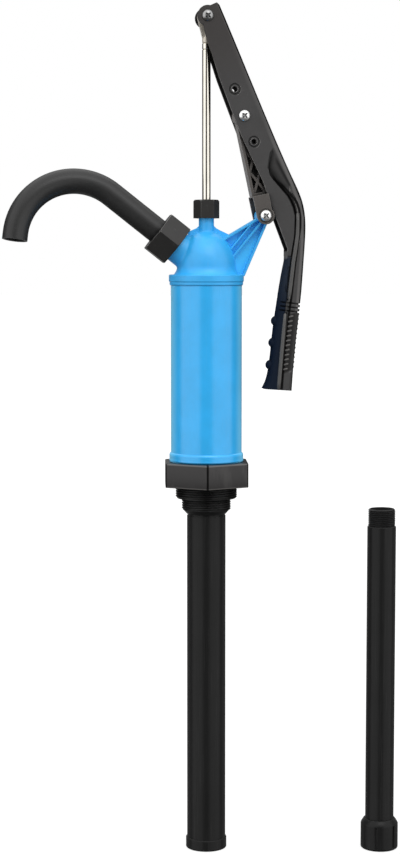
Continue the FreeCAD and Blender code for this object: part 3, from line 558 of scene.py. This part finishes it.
def bung_plastic(name, colour, thread):
    """The adapter's moulding: grey-black hexagon with painted shade along its corners and painted highlights on
    its rims, darker threads below, and painted shade in hollows and where it turns away from view.
    """
    n = Skin(name)
    z = n.along((0, 0, 1))
    turn = n.math("ARCTAN2", n.along((0, 1, 0)), n.along((1, 0, 0)))
    from_corner = n.math("PINGPONG", n.math("ADD", turn, 2 * math.pi - HEX_CORNER), math.pi / 6)
    # Painted shade along the hexagon's corners
    corner = n.fall(from_corner, *DARK_CORNER)
    # Painted highlights along the hexagon's top and foot rims
    rim_highlights = n.most(n.within(z, *HEX_FOOT_RIM, HEX_RIM_SOFT), n.within(z, *HEX_TOP_RIM, HEX_RIM_SOFT))
    hexagon = n.smooth(z, *HEX_START)
    flow = n.smooth(n.noise(FLOW_SCALE, stretch=FLOW_STRETCH), *FLOW_RANGE)
    base = n.clouded(n.noise(CLOUD_SCALE, detail=3.0), colour, CLOUD_SHADE)
    base = n.mix(n.times(flow, FLOW_SHARE), base, FLOW_GREY)
    base = n.mix(n.times(rim_highlights, HEX_RIM_SHARE), base, HEX_RIM_HIGHLIGHT)
    base = n.mix(n.times(corner, CORNER_SHARE), base, CORNER_SHADE)
    base = n.mix(hexagon, thread, base)
    # Painted shade in hollows and where the faces turn away from view
    base = n.mix(n.open_air(*BUNG_HOLLOW, OPEN_FACE), darker(thread, BUNG_SHADE), base)
    base = n.mix(n.facing(*BUNG_TURNED_AWAY), base, darker(colour, BUNG_SHADE))
    normal = n.grained(GRAIN_SCALE, n.soft_edges(BUNG_EDGE))
    specular = n.ramp(n.times(corner, hexagon), *BUNG_SPECULAR)
    return n.finish(base, n.ramp(n.noise(PATCH_SCALE), *BUNG_ROUGH), normal, specular=specular)


class LeverSkin(Skin):
    """A tree with the lever's own axes: s along it, t across it and y out from its middle."""

    def __init__(self, name):
        super().__init__(name)
        cosine = math.cos(LEVER_TURN)
        sine = math.sin(LEVER_TURN)
        self.s = self.math("ADD", self.along((cosine, 0, -sine)), ROD_PIN_Z * sine)
        self.t = self.math("SUBTRACT", self.along((sine, 0, cosine)), ROD_PIN_Z * cosine)
        self.y = self.math("ABSOLUTE", self.along((0, 1, 0)))
        self.inward = self.under(LEVER_BACK)
        self.before_grip = self.fall(self.s, *CHANNEL_END)

    def over(self, points):
        return self.math("SUBTRACT", self.t, self.bent_line(self.s, points))

    def under(self, points):
        return self.math("SUBTRACT", self.bent_line(self.s, points), self.t)

    def off(self, points):
        return self.math("ABSOLUTE", self.over(points))

    def over_straight_groove(self):
        """The distance square to the grip's straight groove, towards the back."""
        (s0, t0), (s1, t1) = STRAIGHT_GROOVE
        length = math.hypot(s1 - s0, t1 - t0)
        across = ((t0 - t1) / length, (s1 - s0) / length)
        reach = self.math("ADD", self.times(self.s, across[0]), self.times(self.t, across[1]))
        return self.math("SUBTRACT", reach, s0 * across[0] + t0 * across[1])

    def plate_colour(self, plates, cloud, rounded, air):
        """The side plates: a painted highlight on the rims facing left, a painted highlight strip inside the
        back that becomes painted shade at the heel, and painted shade on the knuckle end.
        """
        scuff = self.noise(LEVER_SCUFF_SCALE, stretch=LEVER_SCUFF_STRETCH, detail=5.0)
        scuff = self.times(self.smooth(scuff, *LEVER_SCUFF_RANGE), LEVER_SCUFF_SHARE)
        base = self.mix(scuff, self.clouded(cloud, plates, LEVER_CLOUD_SHADE), SCUFF_GREY)
        # Painted highlight along the rims that face left, before the grip
        to_left = self.times(self.smooth(self.dot(rounded, (-1, 0, 0)), *LEVER_LEFT_SIDE), self.before_grip)
        painted_rim = self.times(self.painted_rim(rounded, *FINE_RIM), air, to_left, LEFT_RIM_SHARE)
        base = self.mix(painted_rim, base, LEFT_RIM_HIGHLIGHT)
        # Painted highlight in a strip inside the back edge, which turns into a band of painted shade at the
        # heel
        heel = self.smooth(self.s, *HEEL)
        strip_share = self.ramp(self.smooth(self.s, *BACK_STRIP_START), *BACK_STRIP_SHARES)
        strip = self.times(self.within(self.inward, *BACK_STRIP_BAND, BACK_STRIP_SOFT), strip_share,
                           self.rest(heel))
        base = self.mix(strip, base, BACK_STRIP_HIGHLIGHT)
        heel_shade = self.times(self.within(self.inward, *HEEL_BAND, HEEL_SOFT), heel, HEEL_SHARE)
        base = self.mix(heel_shade, base, SHADE_BLACK)
        # Painted shade on the knuckle end
        return self.mix(self.fall(self.s, *KNUCKLE_END), base, KNUCKLE_SHADE)

    def scoop(self):
        """The shade in the scoop, which is deeper towards both its edges."""
        inside = self.over(SCOOP_EDGE)
        beyond = self.under(SCOOP_FAR_EDGE)
        scooped = self.times(self.smooth(inside, *SCOOP_RIM), self.smooth(beyond, *SCOOP_FAR_RIM),
                             self.within(self.s, *SCOOP_SPAN, SCOOP_SOFT))
        far = self.times(self.fall(beyond, *SCOOP_FAR_SHADE_DEPTH), self.smooth(self.s, *SCOOP_FAR_START))
        depth = self.most(self.fall(inside, *SCOOP_SHADE_DEPTH), far)
        return self.times(scooped, self.ramp(depth, *SCOOP_SHARES))

    def light_strip(self):
        """The bead beside the main groove, where it catches the light."""
        off = self.off([(s, t + LIGHT_STRIP_LIFT) for s, t in GROOVE])
        return self.times(self.fall(off, *LIGHT_STRIP_HALF_WIDTH),
                          self.within(self.s, *LIGHT_STRIP_SPAN, LIGHT_STRIP_SOFT))

    def groove_shade(self):
        """Painted shade in the main side groove, which the ring grooves interrupt, and in the fine one."""
        off_rings = self.rest(self.within(self.s, *RING_GROOVES, RING_SOFT))
        main = self.times(self.fall(self.off(GROOVE), *GROOVE_HALF_WIDTH), self.smooth(self.s, *GROOVE_START),
                          off_rings)
        fine = self.times(self.fall(self.off(FINE_GROOVE), *FINE_GROOVE_HALF_WIDTH),
                          self.smooth(self.s, *FINE_GROOVE_START), FINE_GROOVE_SHARE)
        return self.most(main, fine)


def lever_plastic(name, plates):
    """The lever's moulding: charcoal plates and a blue-black finger side, with painted shade in the channel,
    scoop, grooves and hollows, on the ridge ground, along the back edge and where it turns away from view, and
    painted highlights on the left rims and beside the groove.
    """
    n = LeverSkin(name)
    cloud = n.noise(LEVER_CLOUD_SCALE, detail=3.0)
    rounded = n.soft_edges(LEVER_EDGE)
    air = n.open_air(*LEVER_HOLLOW)
    reach = n.over_straight_groove()
    finger_side = n.times(n.fall(reach, *FINGER_SIDE), n.smooth(n.s, *GRIP_START))
    # Painted shade inside the channel between the plates
    channel = n.times(n.fall(n.y, *CHANNEL_HALF_WIDTH), n.fall(n.t, *CHANNEL_TOP), n.before_grip)
    # Painted shade on the ground between the grip's ridges
    ridged = n.times(n.within(n.s, *RIDGED_SPAN, RIDGED_SOFT), n.smooth(reach, *RIDGE_GROUND))
    # Painted shade along the side plates' back edge
    edge = n.times(n.fall(n.inward, *BACK_EDGE), n.rest(ridged), n.smooth(n.y, *SIDE_PLATE))
    groove_shade = n.groove_shade()
    base = n.plate_colour(plates, cloud, rounded, air)
    # Painted shade in the scoop
    base = n.mix(n.scoop(), base, SHADE_BLACK)
    # Painted highlight on the bead beside the main groove
    base = n.mix(n.times(n.light_strip(), LIGHT_STRIP_SHARE), base, LIGHT_STRIP_HIGHLIGHT)
    # Painted shade in the grooves
    base = n.mix(groove_shade, base, GROOVE_SHADE)
    base = n.mix(finger_side, base, n.mix(n.smooth(n.s, *NAVY_DEEPENS), NAVY, DEEP_NAVY))
    base = n.mix(n.times(ridged, RIDGE_GROUND_SHARE), base, RIDGE_GROUND_SHADE)
    base = n.mix(channel, base, DEEP_SHADE_BLACK)
    # Painted shade in hollows
    base = n.mix(air, HOLLOW_SHADE_BLACK, base)
    base = n.mix(n.times(edge, BACK_EDGE_SHARE), base, DEEP_SHADE_BLACK)
    # Painted shade where faces turn away from view, except on the finger side
    base = n.mix(n.times(n.facing(*LEVER_TURNED_AWAY), n.rest(finger_side)), base, TURNED_AWAY_SHADE)
    uneven = n.ramp(n.noise(LEVER_PATCH_SCALE), *LEVER_ROUGH)
    normal = n.bump(cloud, LEVER_SINK_STRENGTH, SINK_HEIGHT, n.grained(LEVER_GRAIN_SCALE, rounded))
    matt = n.most(channel, groove_shade, edge, finger_side)
    return n.finish(base, uneven, normal, specular=n.ramp(matt, *LEVER_SPECULAR))


# Meshes

TURNED_CREASE = 35
RIB_CREASE = 50
BAR_CREASE = 60
BAR_SIDES = 12
BAR_TIP_LENGTH = 0.8
BAR_TIP_SIZE = 0.15


def make_object(name, vertices, faces, body, material, crease):
    """A mesh piece riding on a body, shaded smooth except at edges sharper than the crease in degrees."""
    mesh = bpy.data.meshes.new(name)
    mesh.from_pydata([tuple(v) for v in vertices], [], faces)
    mesh.validate()
    mesh.materials.append(material)
    mesh.polygons.foreach_set("use_smooth", [True] * len(mesh.polygons))
    mesh.set_sharp_from_angle(angle=math.radians(crease))
    piece = bpy.data.objects.new(name, mesh)
    bpy.context.scene.collection.objects.link(piece)
    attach(piece, body)
    return piece


def rings_to_faces(count, rings):
    """Quads between neighbouring rings of the same number of points."""
    faces = []
    for ring in range(rings - 1):
        here = ring * count
        there = here + count
        for point in range(count):
            following = (point + 1) % count
            faces.append((here + point, here + following, there + following, there + point))
    return faces


def end_faces(count, rings):
    """The two faces that close a row of rings."""
    return [tuple(range(count))[::-1], tuple(range((rings - 1) * count, rings * count))]


def round_angles(count):
    return [2 * math.pi * number / count for number in range(count)]


def revolved(levels, angles):
    """Vertices of rings: a level is a height and a function or number for the radius."""
    vertices = []
    for z, radius in levels:
        for angle in angles:
            r = radius(angle) if callable(radius) else radius
            vertices.append(Vector((r * math.cos(angle), r * math.sin(angle), z)) * MM)
    return vertices


def turned_piece(name, levels, angles, material, place=(0.0, 0.0)):
    """A piece of the pump's body made of rings round an upright line at a place."""
    shift = Vector((*place, 0)) * MM
    vertices = [v + shift for v in revolved(levels, angles)]
    faces = rings_to_faces(len(angles), len(levels))
    return make_object(name, vertices, faces, "pump_body", material, TURNED_CREASE)


def hex_r(inset, angle):
    """The radius of the hexagon with rounded corners, at an angle."""
    apothem = HEX_APOTHEM - inset
    away = (angle - HEX_CORNER) % (math.pi / 3)
    away = min(away, math.pi / 3 - away)
    flat = apothem / math.cos(math.pi / 6 - away)
    centre = (apothem - HEX_ROUNDING) / math.cos(math.pi / 6)
    inside = HEX_ROUNDING ** 2 - (centre * math.sin(away)) ** 2
    if inside <= 0 or away >= math.pi / 12:
        return flat
    return min(flat, centre * math.cos(away) + math.sqrt(inside))


def hex_angles():
    """Angles round the hexagon, closer together at its corners."""
    angles = []
    for side in range(6):
        for step in range(HEX_SIDE_STEPS):
            share = step / HEX_SIDE_STEPS
            eased = share - math.sin(2 * math.pi * share) / (2 * math.pi) * CORNER_CROWDING
            angles.append(HEX_CORNER + math.pi / 3 * (side + eased))
    return angles


def thread_r(crest, depth, pitch, z, angle, low, high):
    """The radius of a flat-crested thread that fades in at both ends."""
    phase = (z / pitch - angle / (2 * math.pi)) % 1.0
    wave = min(1.0, max(0.0, (abs(2 * phase - 1) - THREAD_FLAT) / THREAD_FLANK))
    fade = min(1.0, (z - low) / (THREAD_FADE * pitch), (high - z) / (THREAD_FADE * pitch))
    return crest - depth + depth * wave * max(0.0, fade)


def thread_levels(low, high, crest, depth, pitch):
    """Levels of a thread from low to high."""
    count = round((high - low) / pitch * THREAD_STEPS)
    levels = []
    for number in range(count + 1):
        z = low + (high - low) * number / count
        levels.append((z, lambda angle, z=z: thread_r(crest, depth, pitch, z, angle, low, high)))
    return levels


# Pieces

def adapter(material):
    """The hex with rounded corners, the gasket's recess and both helical threads."""
    step = -BUNG_LENGTH
    foot = step - SMALL_BUNG_LENGTH
    relief_height, relief_depth = SMALL_BUNG_TOP_RELIEF
    levels = [(foot + TUBE_BORE_LENGTH, TUBE_BORE_R), (foot, TUBE_BORE_R),
              (foot, SMALL_BUNG_R - SMALL_BUNG_FOOT_BEVEL)]
    levels += thread_levels(foot, step + relief_height, SMALL_BUNG_R, SMALL_BUNG_THREAD_DEPTH, THREAD_PITCH)
    levels += [(step, SMALL_BUNG_R - relief_depth), (step, BUNG_R - BUNG_FOOT_BEVEL)]
    levels += thread_levels(step, 0, BUNG_R, BUNG_THREAD_DEPTH, THREAD_PITCH)
    levels += [(0, BUNG_R), (0, GASKET_BORE_R), (GASKET_HEIGHT, GASKET_BORE_R), (GASKET_HEIGHT, GASKET_R),
               (0, GASKET_R)]
    levels += [(z, lambda angle, inset=inset: hex_r(inset, angle)) for z, inset in HEX_RIMS]
    levels += [(HEX_HEIGHT, SPIGOT_R), (SPIGOT_FLOOR, SPIGOT_R), (SPIGOT_FLOOR, FOOT_POCKET_R)]
    piece = turned_piece("bung_adapter_threads", levels, hex_angles(), material)
    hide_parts("bung_adapter")


def extension_thread(material):
    """The loose tube with its helical thread and chamfered mouth."""
    shoulder = EXTENSION_TOP - EXTENSION_THREAD_LENGTH
    mouth = EXTENSION_MOUTH_BEVEL
    bevel_height, bevel_depth = EXTENSION_THREAD_BEVEL
    thread = thread_levels(shoulder, EXTENSION_TOP - bevel_height, EXTENSION_THREAD_R, EXTENSION_THREAD_DEPTH,
                           EXTENSION_THREAD_PITCH)
    levels = [(EXTENSION_LOW, EXTENSION_BORE_R), (EXTENSION_TOP - mouth, EXTENSION_BORE_R),
              (EXTENSION_TOP, EXTENSION_BORE_R + mouth), (EXTENSION_TOP, EXTENSION_THREAD_R - bevel_depth)]
    levels += thread[::-1]
    levels += [(shoulder, EXTENSION_R - EXTENSION_SHOULDER_BEVEL),
               (shoulder - EXTENSION_SHOULDER_BEVEL, EXTENSION_R), (EXTENSION_LOW, EXTENSION_R)]
    piece = turned_piece("extension_tube_thread", levels, round_angles(EXTENSION_STEPS), material,
                         EXTENSION)
    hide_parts("extension_tube")


def grooved(share):
    """The socket's radius as a function of the angle, with a share of its grooves' depth."""
    def radius(angle):
        away = (angle - SOCKET_GROOVE_TURN + math.pi / 6) % (math.pi / 3) - math.pi / 6
        depth = max(0.0, min(1.0, SOCKET_GROOVE_WIDTH - abs(away) / SOCKET_GROOVE_FLANK))
        return SOCKET_R - share * SOCKET_GROOVE_DEPTH * depth
    return radius


def extension_socket(material):
    """The socket with six upright grip grooves between its rounded foot and its chamfer."""
    levels = [(SOCKET_FLOOR, SOCKET_BORE_R), (FOOT_Z, SOCKET_BORE_R)]
    levels += [(FOOT_Z + rise, r) for rise, r in SOCKET_FOOT_ROUND]
    levels += [(FOOT_Z + rise, grooved(share)) for share, rise in enumerate(SOCKET_GROOVE_FOOT)]
    levels += [(SOCKET_TOP - drop, grooved(1 - share)) for share, drop in enumerate(SOCKET_GROOVE_TOP)]
    levels += [(SOCKET_TOP + rise, r) for rise, r in SOCKET_CHAMFER]
    levels += [(SOCKET_TOP, SOCKET_TUBE_R), (SOCKET_TOP - SOCKET_TUBE_LENGTH, SOCKET_TUBE_R)]
    piece = turned_piece("extension_socket_grooves", levels, round_angles(SOCKET_STEPS),
                         material, EXTENSION)
    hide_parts("extension_socket")


def bar_along(path, radius):
    """Vertices and faces of a round bar along points, with narrowed tips."""
    start = path[0] - (path[1] - path[0]).normalized() * radius * BAR_TIP_LENGTH
    end = path[-1] + (path[-1] - path[-2]).normalized() * radius * BAR_TIP_LENGTH
    line = [start] + path + [end]
    sizes = [BAR_TIP_SIZE] + [1.0] * len(path) + [BAR_TIP_SIZE]
    vertices = []
    normal = None
    for number, point in enumerate(line):
        before = line[max(0, number - 1)]
        after = line[min(len(line) - 1, number + 1)]
        tangent = (after - before).normalized()
        if normal is None:
            normal = tangent.orthogonal().normalized()
        normal = (normal - tangent * normal.dot(tangent)).normalized()
        other = tangent.cross(normal)
        for angle in round_angles(BAR_SIDES):
            offset = normal * math.cos(angle) + other * math.sin(angle)
            vertices.append(point + offset * radius * sizes[number])
    return vertices, rings_to_faces(BAR_SIDES, len(line)) + end_faces(BAR_SIDES, len(line))


def height_at(points, s):
    """The height of a line through points at s."""
    for (s0, t0), (s1, t1) in zip(points, points[1:]):
        if s0 <= s <= s1:
            return t0 + (t1 - t0) * (s - s0) / (s1 - s0)
    return points[-1][1]


def other_side(path):
    return [(s, t, -y) for s, t, y in path]


def bars_on_lever(name, paths, radius, material):
    """Round bars half sunk in the lever, each along points of s, t and y."""
    vertices = []
    faces = []
    for path in paths:
        points, quads = bar_along([on_lever(*point) for point in path], radius * MM)
        start = len(vertices)
        vertices += points
        faces += [tuple(index + start for index in quad) for quad in quads]
    make_object(name, vertices, faces, "lever_body", material, BAR_CREASE)


def grip_ridges(material):
    """Ridges across the grip's back and round its corners, each with a short one in line on both sides."""
    paths = []
    for number in range(RIDGE_COUNT):
        s = RIDGE_START + RIDGE_PITCH * number
        back = height_at(LEVER_BACK, s)
        near = [(s - RIDGE_LEAN * inward, back - inward, RIDGE_HALF_LENGTH - lower)
                for inward, lower in RIDGE_PATH]
        short, corner = near[:RIDGE_SHORT_POINTS], near[RIDGE_SHORT_POINTS:]
        paths += [short, other_side(short), other_side(corner) + corner[::-1]]
    bars_on_lever("grip_ridges", paths, RIDGE_R, material)


def grip_beads(material):
    """A raised bead down each side, beside the groove and down the grip, broken at the ring grooves."""
    paths = []
    for low, high, beside in BEADS:
        line = []
        for number in range(BEAD_STEPS + 1):
            s = low + (high - low) * number / BEAD_STEPS
            risen = min(1.0, number / BEAD_FADES[0], (BEAD_STEPS - number) / BEAD_FADES[1])
            line.append((s, height_at(GROOVE, s) + beside, LEVER_HALF_WIDTH - BEAD_SUNK + BEAD_RISE * risen))
        paths += [line, other_side(line)]
    bars_on_lever("grip_beads", paths, BEAD_R, material)


def bracket_rib(material):
    """A thinner rib between the bracket's top and middle ones, with drafted sides and rounded tips."""
    (x0, z0), (x1, z1) = SECOND_RIB
    length = math.hypot(x1 - x0, z1 - z0)
    rise = ((z0 - z1) / length, (x1 - x0) / length)
    top = RIB_QUARTER + [(y, -h) for y, h in RIB_QUARTER[::-1]]
    section = top + [(-y, -h) for y, h in top]
    vertices = []
    for x, z in SECOND_RIB:
        vertices += [Vector((x + rise[0] * h, y, z + rise[1] * h)) * MM for y, h in section]
    faces = rings_to_faces(len(section), 2) + end_faces(len(section), 2)
    make_object("bracket_rib", vertices, faces, "pump_body", material, RIB_CREASE)


PARTS = {
    "blue_plastic": ["pump_head"],
    "blue_pipe": ["cylinder"],
    "black_pipe": ["suction_tube", "suction_collar", "extension_tube", "extension_socket"],
    "spout_pipe": ["spout"],
    "nut_plastic": ["gland_nut", "spout_nut"],
    "bung_plastic": ["bung_adapter"],
    "lever_plastic": ["lever"],
    "link_plastic": ["link"],
    "bright_rod": ["piston_rod", "rod_lock_ring", "foot_valve_ball"],
    "bright_eye": ["rod_eye"],
    "zinc_screw": ["rod_pin", "link_pin", "bracket_pin", "link_pin_screws", "bracket_pin_screws",
                   "gland_washer", "piston_nut", "valve_stop"],
    "dull_screw": ["rod_pin_screws"],
    "seal_rubber": ["adapter_gasket", "head_seal", "gland_packing", "spout_gasket", "piston_seal",
                    "piston_valve"],
    "natural_acetal": ["rod_spacers", "piston", "foot_valve_seat", "foot_valve_cage"],
}


def paint(nodes, name, material):
    nodes[name].data.materials.clear()
    nodes[name].data.materials.append(material)


def make_materials():
    """Every material, by its name."""
    return dict([
        # Painted light in the head's hollows and on the bracket's webs
        moulded("blue_plastic", lin(54, 176, 244), 0.36, 1.0, specular=0.5, hollow=(10.0, 0.15),
                painted_hollow_tone=1.22, painted_away_tone=1.0, painted_web_light=lin(68, 204, 255)),
        # Painted sheen where the pipes turn away from view
        extruded("blue_pipe", lin(44, 178, 247), lin(112, 206, 252), 0.24, specular=0.7, hollow=(4.0, 0.3),
                 turn=(0.36, 0.74)),
        extruded("black_pipe", lin(30, 30, 30), lin(48, 48, 48), 0.28, specular=0.13, hollow=(3.0, 0.3),
                 turn=(0.30, 0.75)),
        extruded("spout_pipe", lin(41, 41, 41), lin(46, 46, 46), 0.38, stretch=(1, 1, 1)),
        # Painted shade on the nuts' rims, and a painted highlight on the rims that face up and left
        moulded("nut_plastic", lin(43, 42, 41), 0.36, 0.8, painted_rim=lin(12, 12, 12), rim_share=0.7,
                painted_highlight_way=(-0.785, 0, 0.62)),
        bung_plastic("bung_plastic", lin(42, 40, 40), lin(27, 27, 27)),
        lever_plastic("lever_plastic", lin(66, 65, 65)),
        # Painted shade where the ridges and beads turn away from view
        moulded("ridge_plastic", lin(90, 88, 86), 0.34, 0.3, hollow=(2.0, 0.6), painted_away_tone=0.7),
        moulded("bead_plastic", lin(84, 83, 82), 0.34, 0.3, hollow=(2.0, 0.5), painted_away_tone=0.3),
        # Painted shade in the link's hollows, painted highlights on its rims and left sides, and a painted
        # sheen where it turns away from view
        moulded("link_plastic", lin(84, 80, 77), 0.36, 0.6, hollow=(8.0, 0.4), painted_hollow_tone=0.15,
                painted_rim=lin(150, 146, 140), painted_away_tone=1.3, painted_left_highlight=lin(124, 120, 117)),
        steel("bright_rod", lin(232, 227, 216), 0.10, (1, 1, 0.01)),
        steel("bright_eye", lin(214, 207, 194), 0.30, (1, 1, 0.2), metal=0.4, recess=0.4),
        steel("zinc_screw", lin(246, 246, 246), 0.22, (1, 1, 1), 0.05, 2200.0, 0.8),
        steel("dull_screw", lin(160, 160, 160), 0.26, (1, 1, 1), 0.05, 2200.0, 0.9),
        moulded("seal_rubber", lin(30, 30, 30), 0.7, 0.4, grain=1600.0),
        moulded("natural_acetal", lin(214, 212, 204), 0.45, 0.5),
    ])


def dress(nodes):
    """Paint every part of the frame, and add the pieces that the scene alone has."""
    materials = make_materials()
    for key, names in PARTS.items():
        for name in names:
            paint(nodes, name, materials[key])
    adapter(materials["bung_plastic"])
    extension_thread(materials["black_pipe"])
    extension_socket(materials["black_pipe"])
    grip_ridges(materials["ridge_plastic"])
    grip_beads(materials["bead_plastic"])
    bracket_rib(materials["blue_plastic"])


# Stage, with places in metres and the panels' edges as cosines of the way a ray goes

RIGHT_PANEL = 1.35
LEFT_PANEL = 1.45
PANEL_SIDE = (0.25, 0.42)
PANEL_FRONT = (-0.08, 0.08)
PANEL_FOOT = (-0.6, -0.2)
CEILING = 1.5
CEILING_EDGE = (0.45, 0.8)
FILL = 1.0
DARK_GLOSS = 0.06
BACK_STRIP = 0.4
STRIP_TURN = math.radians(-172.0)
STRIP_EDGE = (0.965, 0.985)
FLOOR_HALF = 30.0
FLOOR_GAP = 0.0002
PAPER_TONES = (0.23, 0.25)
PAPER_GLOW = 0.78
PAPER_GRAIN_SCALE = 40.0
PAPER_ROUGH = 0.9
KEY_BOX = (0.25, -1.45, 1.55)
KEY_TARGET = (0.02, 0, 0.08)
KEY_SIZE = (1.4, 0.8)
KEY_POWER = 9
CAMERA_YAW = math.radians(-6.0)
CAMERA_LENS = 80.1
CAMERA_DISTANCE = 1.863
CAMERA_PITCH = math.radians(5.0)
CAMERA_TARGET = Vector((-0.0062, 0, 0.0573))


def grey(level):
    return (level, level, level, 1)


def look_at(thing, place, target):
    thing.location = place
    thing.rotation_euler = (Vector(target) - Vector(place)).to_track_quat("-Z", "Y").to_euler()


def key_box(scene):
    """One soft lamp above and in front of the pump."""
    data = bpy.data.lights.new("key_box", "AREA")
    data.shape = "RECTANGLE"
    data.size, data.size_y = KEY_SIZE
    data.energy = KEY_POWER
    lamp = bpy.data.objects.new("key_box", data)
    scene.collection.objects.link(lamp)
    look_at(lamp, KEY_BOX, KEY_TARGET)


def white_to_camera(n, plain, white, target):
    """The plain shader for light, and the white one where the camera or glass looks at it."""
    path = n.add("ShaderNodeLightPath")
    seen = n.most(path.outputs["Is Camera Ray"], path.outputs["Is Transmission Ray"])
    mix = n.add("ShaderNodeMixShader")
    n.wire(seen, mix.inputs[0])
    n.wire(plain.outputs[0], mix.inputs[1])
    n.wire(white.outputs[0], mix.inputs[2])
    n.wire(mix.outputs[0], target)


def level_direction(n, way):
    """The way a ray goes, flattened to the horizon."""
    level = n.add("ShaderNodeVectorMath", operation="MULTIPLY")
    n.wire(way, level.inputs[0])
    level.inputs[1].default_value = (1, 1, 0)
    unit = n.add("ShaderNodeVectorMath", operation="NORMALIZE")
    n.wire(level.outputs[0], unit.inputs[0])
    return unit.outputs[0]


def studio_light(n):
    """White panels left, right and above, and a strip behind that lights edges seen at a low angle."""
    way = n.add("ShaderNodeTexCoord").outputs["Generated"]
    up = n.dot(way, (0, 0, 1))
    level = level_direction(n, way)
    aside = n.dot(level, (math.cos(CAMERA_YAW), math.sin(CAMERA_YAW), 0))
    ahead = n.dot(level, (math.sin(CAMERA_YAW), -math.cos(CAMERA_YAW), 0))
    panel = n.times(n.smooth(n.math("ABSOLUTE", aside), *PANEL_SIDE), n.smooth(ahead, *PANEL_FRONT))
    panel = n.times(panel, n.math("MULTIPLY_ADD", aside, 0.5 * (RIGHT_PANEL - LEFT_PANEL),
                                  0.5 * (RIGHT_PANEL + LEFT_PANEL)))
    panel = n.times(panel, n.smooth(up, *PANEL_FOOT))
    ceiling = n.times(n.smooth(up, *CEILING_EDGE), CEILING)
    gloss = n.add("ShaderNodeLightPath").outputs["Is Glossy Ray"]
    fill = n.ramp(gloss, FILL, DARK_GLOSS)
    behind = (math.sin(STRIP_TURN), -math.cos(STRIP_TURN), 0)
    strip = n.times(n.smooth(n.dot(level, behind), *STRIP_EDGE), gloss, BACK_STRIP)
    return n.most(panel, ceiling, fill, strip)


def studio(scene):
    world = bpy.data.worlds.new("studio")
    scene.world = world
    world.use_nodes = True
    n = Tree(world.node_tree)
    plain = world.node_tree.nodes["Background"]
    plain.inputs["Color"].default_value = grey(1)
    n.wire(studio_light(n), plain.inputs["Strength"])
    white = n.add("ShaderNodeBackground")
    white.inputs["Color"].default_value = grey(1)
    white_to_camera(n, plain, white, world.node_tree.nodes["World Output"].inputs["Surface"])


def paper_floor(scene):
    """White paper under the tube's foot, which keeps the shadow."""
    z = FOOT_Z * MM - FLOOR_GAP
    corners = [(x * FLOOR_HALF, y * FLOOR_HALF, z) for x, y in ((-1, -1), (1, -1), (1, 1), (-1, 1))]
    mesh = bpy.data.meshes.new("floor")
    mesh.from_pydata(corners, [], [(0, 1, 2, 3)])
    floor = bpy.data.objects.new("floor", mesh)
    scene.collection.objects.link(floor)
    paper = Skin("paper")
    grain = paper.noise(PAPER_GRAIN_SCALE, detail=2.0)
    paper.finish(paper.mix(grain, *[grey(tone) for tone in PAPER_TONES]), PAPER_ROUGH)
    glow = paper.add("ShaderNodeEmission")
    glow.inputs["Strength"].default_value = PAPER_GLOW
    both = paper.add("ShaderNodeAddShader")
    paper.wire(paper.shader.outputs[0], both.inputs[0])
    paper.wire(glow.outputs[0], both.inputs[1])
    white_to_camera(paper, paper.shader, both, paper.tree.nodes["Material Output"].inputs["Surface"])
    mesh.materials.append(paper.material)
    floor.visible_glossy = False


def photo_camera(scene):
    data = bpy.data.cameras.new("camera")
    camera = bpy.data.objects.new("camera", data)
    scene.collection.objects.link(camera)
    data.lens = CAMERA_LENS
    data.clip_start = 0.05
    data.clip_end = 60
    level = math.cos(CAMERA_PITCH)
    back = Vector((math.sin(CAMERA_YAW) * level, -math.cos(CAMERA_YAW) * level, math.sin(CAMERA_PITCH)))
    look_at(camera, CAMERA_TARGET + CAMERA_DISTANCE * back, CAMERA_TARGET)
    scene.camera = camera


def stage():
    scene = bpy.context.scene
    scene.view_settings.view_transform = "Standard"
    studio(scene)
    paper_floor(scene)
    key_box(scene)
    photo_camera(scene)


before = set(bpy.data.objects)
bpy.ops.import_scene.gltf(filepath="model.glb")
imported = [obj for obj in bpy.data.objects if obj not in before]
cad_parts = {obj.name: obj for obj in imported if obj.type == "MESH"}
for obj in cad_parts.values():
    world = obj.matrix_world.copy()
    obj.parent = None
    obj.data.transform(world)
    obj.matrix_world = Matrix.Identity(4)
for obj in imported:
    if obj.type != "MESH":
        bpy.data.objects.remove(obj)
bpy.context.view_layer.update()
dress(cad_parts)
stage()
